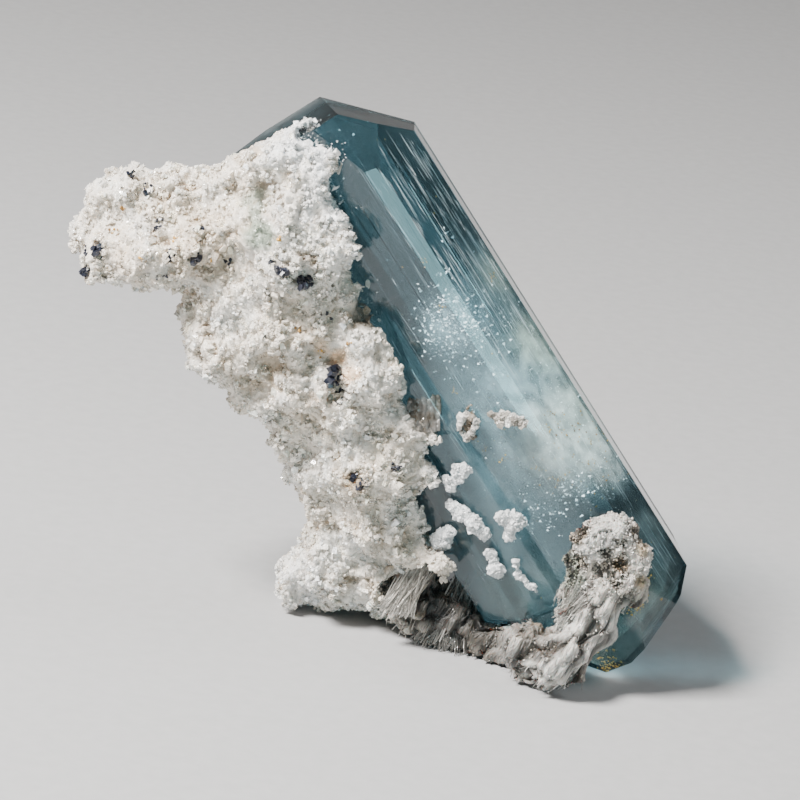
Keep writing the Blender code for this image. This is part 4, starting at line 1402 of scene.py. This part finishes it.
def fragment_tint(points):
    """Pale rims and brown-grey in the pit and the creases."""
    colour = np.tile(WHITE, (len(points), 1))
    patch = fade(layered_noise(points, 1.3, SEED + 21), -0.45, 0.15)[:, None]
    colour += (GREY_BROWN - colour) * patch * 0.8
    pit = fade(-np.hypot((points[:, 0] - 8.5) / 0.75, (points[:, 1] + 3.0) / 1.3), -1.0, -0.6)
    return colour + (0.4 * TAN - colour) * pit[:, None] * 0.9


def pit_floor(rng):
    """Brown-grey grains on the bottom of the pitted fragment."""
    x, y = rng.normal(0.0, 1.0, (2, PIT_GRAINS)) * [[0.45], [0.85]] + [[8.45], [-3.0]]
    z = crystal_front(x, y)[0] + rng.uniform(0.05, 0.4, PIT_GRAINS)
    tints = (0.6 * GREY_BROWN + 0.2 * TAN) * rng.uniform(0.5, 1.3, (PIT_GRAINS, 1))
    shape = rng.uniform(0.12, 0.3, (PIT_GRAINS, 1)) * rng.uniform(0.7, 1.3, (PIT_GRAINS, 3))
    place = np.column_stack((x, y, z)), random_turns(PIT_GRAINS, rng)
    return scattered("pit_floor", GRAIN_TABLET, *place, shape, tints)


def cluster_grains(name, obj, tint, rng):
    """Angular plates and finer grains over a small cluster's body."""
    parts = []
    for count, middle, proud, shape in CLUSTER_GRAINS:
        spots, normals, _ = surface_spots(obj, count, rng)
        size = middle * np.exp(rng.normal(0.0, 0.35, count))
        spots = spots + normals * (size * rng.uniform(-0.4, proud, count))[:, None]
        away = depth_in_crystal(spots) < -0.02
        spots, size = spots[away], size[away]
        stretch = rng.uniform((0.8, 0.8, 0.5), (1.4, 1.4, 1.1), (len(spots), 3))
        stretch = size[:, None] * stretch
        tints = tint(spots) * np.exp(rng.normal(0.0, 0.12, (len(spots), 1)))
        turns = random_turns(len(spots), rng)
        parts.append(scattered(f"{name}_{middle}", shape, spots, turns, stretch, tints))
    return parts


def build_small_clusters(rng):
    """The clusters on the crystal's front: a sunk body, angular plates over it and fine grains."""
    for name, nodes, slot, tint in (
        ("rosettes", ROSETTE_NODES, "albite", rosette_tint),
        ("crust_fragments", FRAGMENT_NODES, "stained_crust", fragment_tint),
    ):
        obj = remeshed_copy(name, nodes, SMALL_VOXEL)
        sunk = 0.1 + 0.3 * domes(mesh_points(obj), 0.9, SEED + 3)
        set_points(obj, sunk_points(obj, sunk))
        parts = cluster_grains(name, obj, tint, rng)
        if name == "crust_fragments":
            parts.append(pit_floor(rng))
        grains = joined(f"{name}_grains", parts)
        finished(grains, albite_finish(f"{name}_grain_albite", 0.25, 0.3, 0.12), slot)
        points = mesh_points(obj)
        set_tint(obj, tint(points) * 0.85)
        set_points(obj, stood(points))
        finished(obj, albite_finish(f"{name}_albite", 0.3, 0.45, 0.2), slot, *nodes)


def build_dark_crystals(tree, rng):
    """The dark crystals: each a tight group of dark blocks, seated on the grains of the matrix."""
    clouds = [laid(mesh_points(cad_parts[node])) for node in DARK_NODES]
    seats = [tree.find_nearest(tuple(cloud.mean(axis=0)))[:2] for cloud in clouds]
    seats = [np.array(place) + 0.35 * np.array(normal) for place, normal in seats]
    middles = np.repeat(seats, DARK_BLOCKS, axis=0)
    reach = np.repeat([np.ptp(cloud, axis=0) for cloud in clouds], DARK_BLOCKS, axis=0)
    spots = middles + rng.uniform(-0.33, 0.33, middles.shape) * reach
    shape = reach.min(axis=1, keepdims=True) * rng.uniform(0.22, 0.5, (len(spots), 3))
    place = spots, random_turns(len(spots), rng), shape
    obj = scattered("dark_crystals", GRAIN_TABLET, *place, np.ones((len(spots), 3)))
    finished(obj, dark_mineral_finish("dark_mineral"), "dark_mineral", *DARK_NODES)


# ---- stage

FLOOR_HALF = 2.5


def build_floor():
    """A large flat floor, a grid of four points."""
    corners = np.array(((-1, -1, 0), (1, -1, 0), (1, 1, 0), (-1, 1, 0))) * FLOOR_HALF
    floor = mesh_object("floor", corners, [[[0, 1, 2, 3]]])
    floor.data.materials.append(plain_floor_finish())


def add_lamp(name, direction, distance, size, power, colour=(1.0,) * 3, target=(0.0,) * 3):
    """A soft square lamp, placed from a target by a direction, both in the facing frame."""
    lamp = bpy.data.lights.new(name, "AREA")
    lamp.size, lamp.energy, lamp.color = size, power, colour
    obj = linked(name, lamp)
    way = STAND @ np.array(direction)
    middle = stood(np.array(target))
    place = middle + way / np.linalg.norm(way) * distance
    obj.location = place
    obj.rotation_euler = (Vector(middle) - Vector(place)).to_track_quat("-Z", "Y").to_euler()


def mirrored_way(normal, place):
    """The direction a face must see a lamp in, to mirror it into the camera from a place on it."""
    view = unit(np.array((0.0, 0.0, CAMERA_DISTANCE)) - place)
    return 2.0 * (normal @ view) * normal - view


def build_light():
    """A key lamp, a side lamp, a card that shows in the front strip, and a dim even sky."""
    add_lamp("key_lamp", (-0.62, 0.92, 0.72), 0.55, 0.13, 13.5, (1.0, 0.975, 0.94))
    add_lamp("side_lamp", (1.0, 0.55, 0.15), 0.55, 0.25, 1.3)
    strip = np.array((-1.0, 22.0, 13.0))
    way = mirrored_way(CRYSTAL @ face_normal(*FRONT_STRIP[:2]), strip)
    add_lamp("strip_card", way, 0.25, 0.07, 0.1, (0.5, 0.93, 1.0), strip)
    world = bpy.data.worlds.new("studio")
    world.use_nodes = True
    background = world.node_tree.nodes["Background"]
    background.inputs["Color"].default_value = (0.88, 0.89, 0.88, 1.0)
    background.inputs["Strength"].default_value = 0.13
    bpy.context.scene.world = world


def build_camera():
    """Looks straight at the face from the camera's distance."""
    camera = linked("camera", bpy.data.cameras.new("camera"))
    camera.data.lens, camera.data.sensor_width = CAMERA_LENS, CAMERA_SENSOR
    camera.data.clip_start = 0.01
    place = Matrix(STAND.tolist()).to_4x4()
    place.translation = Vector(stood(np.array((0.0, 0.0, CAMERA_DISTANCE))))
    camera.matrix_world = place
    bpy.context.scene.camera = camera


def main():
    rng = np.random.default_rng(SEED)
    build_camera()
    build_light()
    build_floor()
    build_crystal()
    build_haze()
    build_inclusions(rng)
    build_striae(rng)
    tree = build_albite(rng)
    build_cleavelandite(rng)
    build_small_clusters(rng)
    build_dark_crystals(tree, rng)


main()
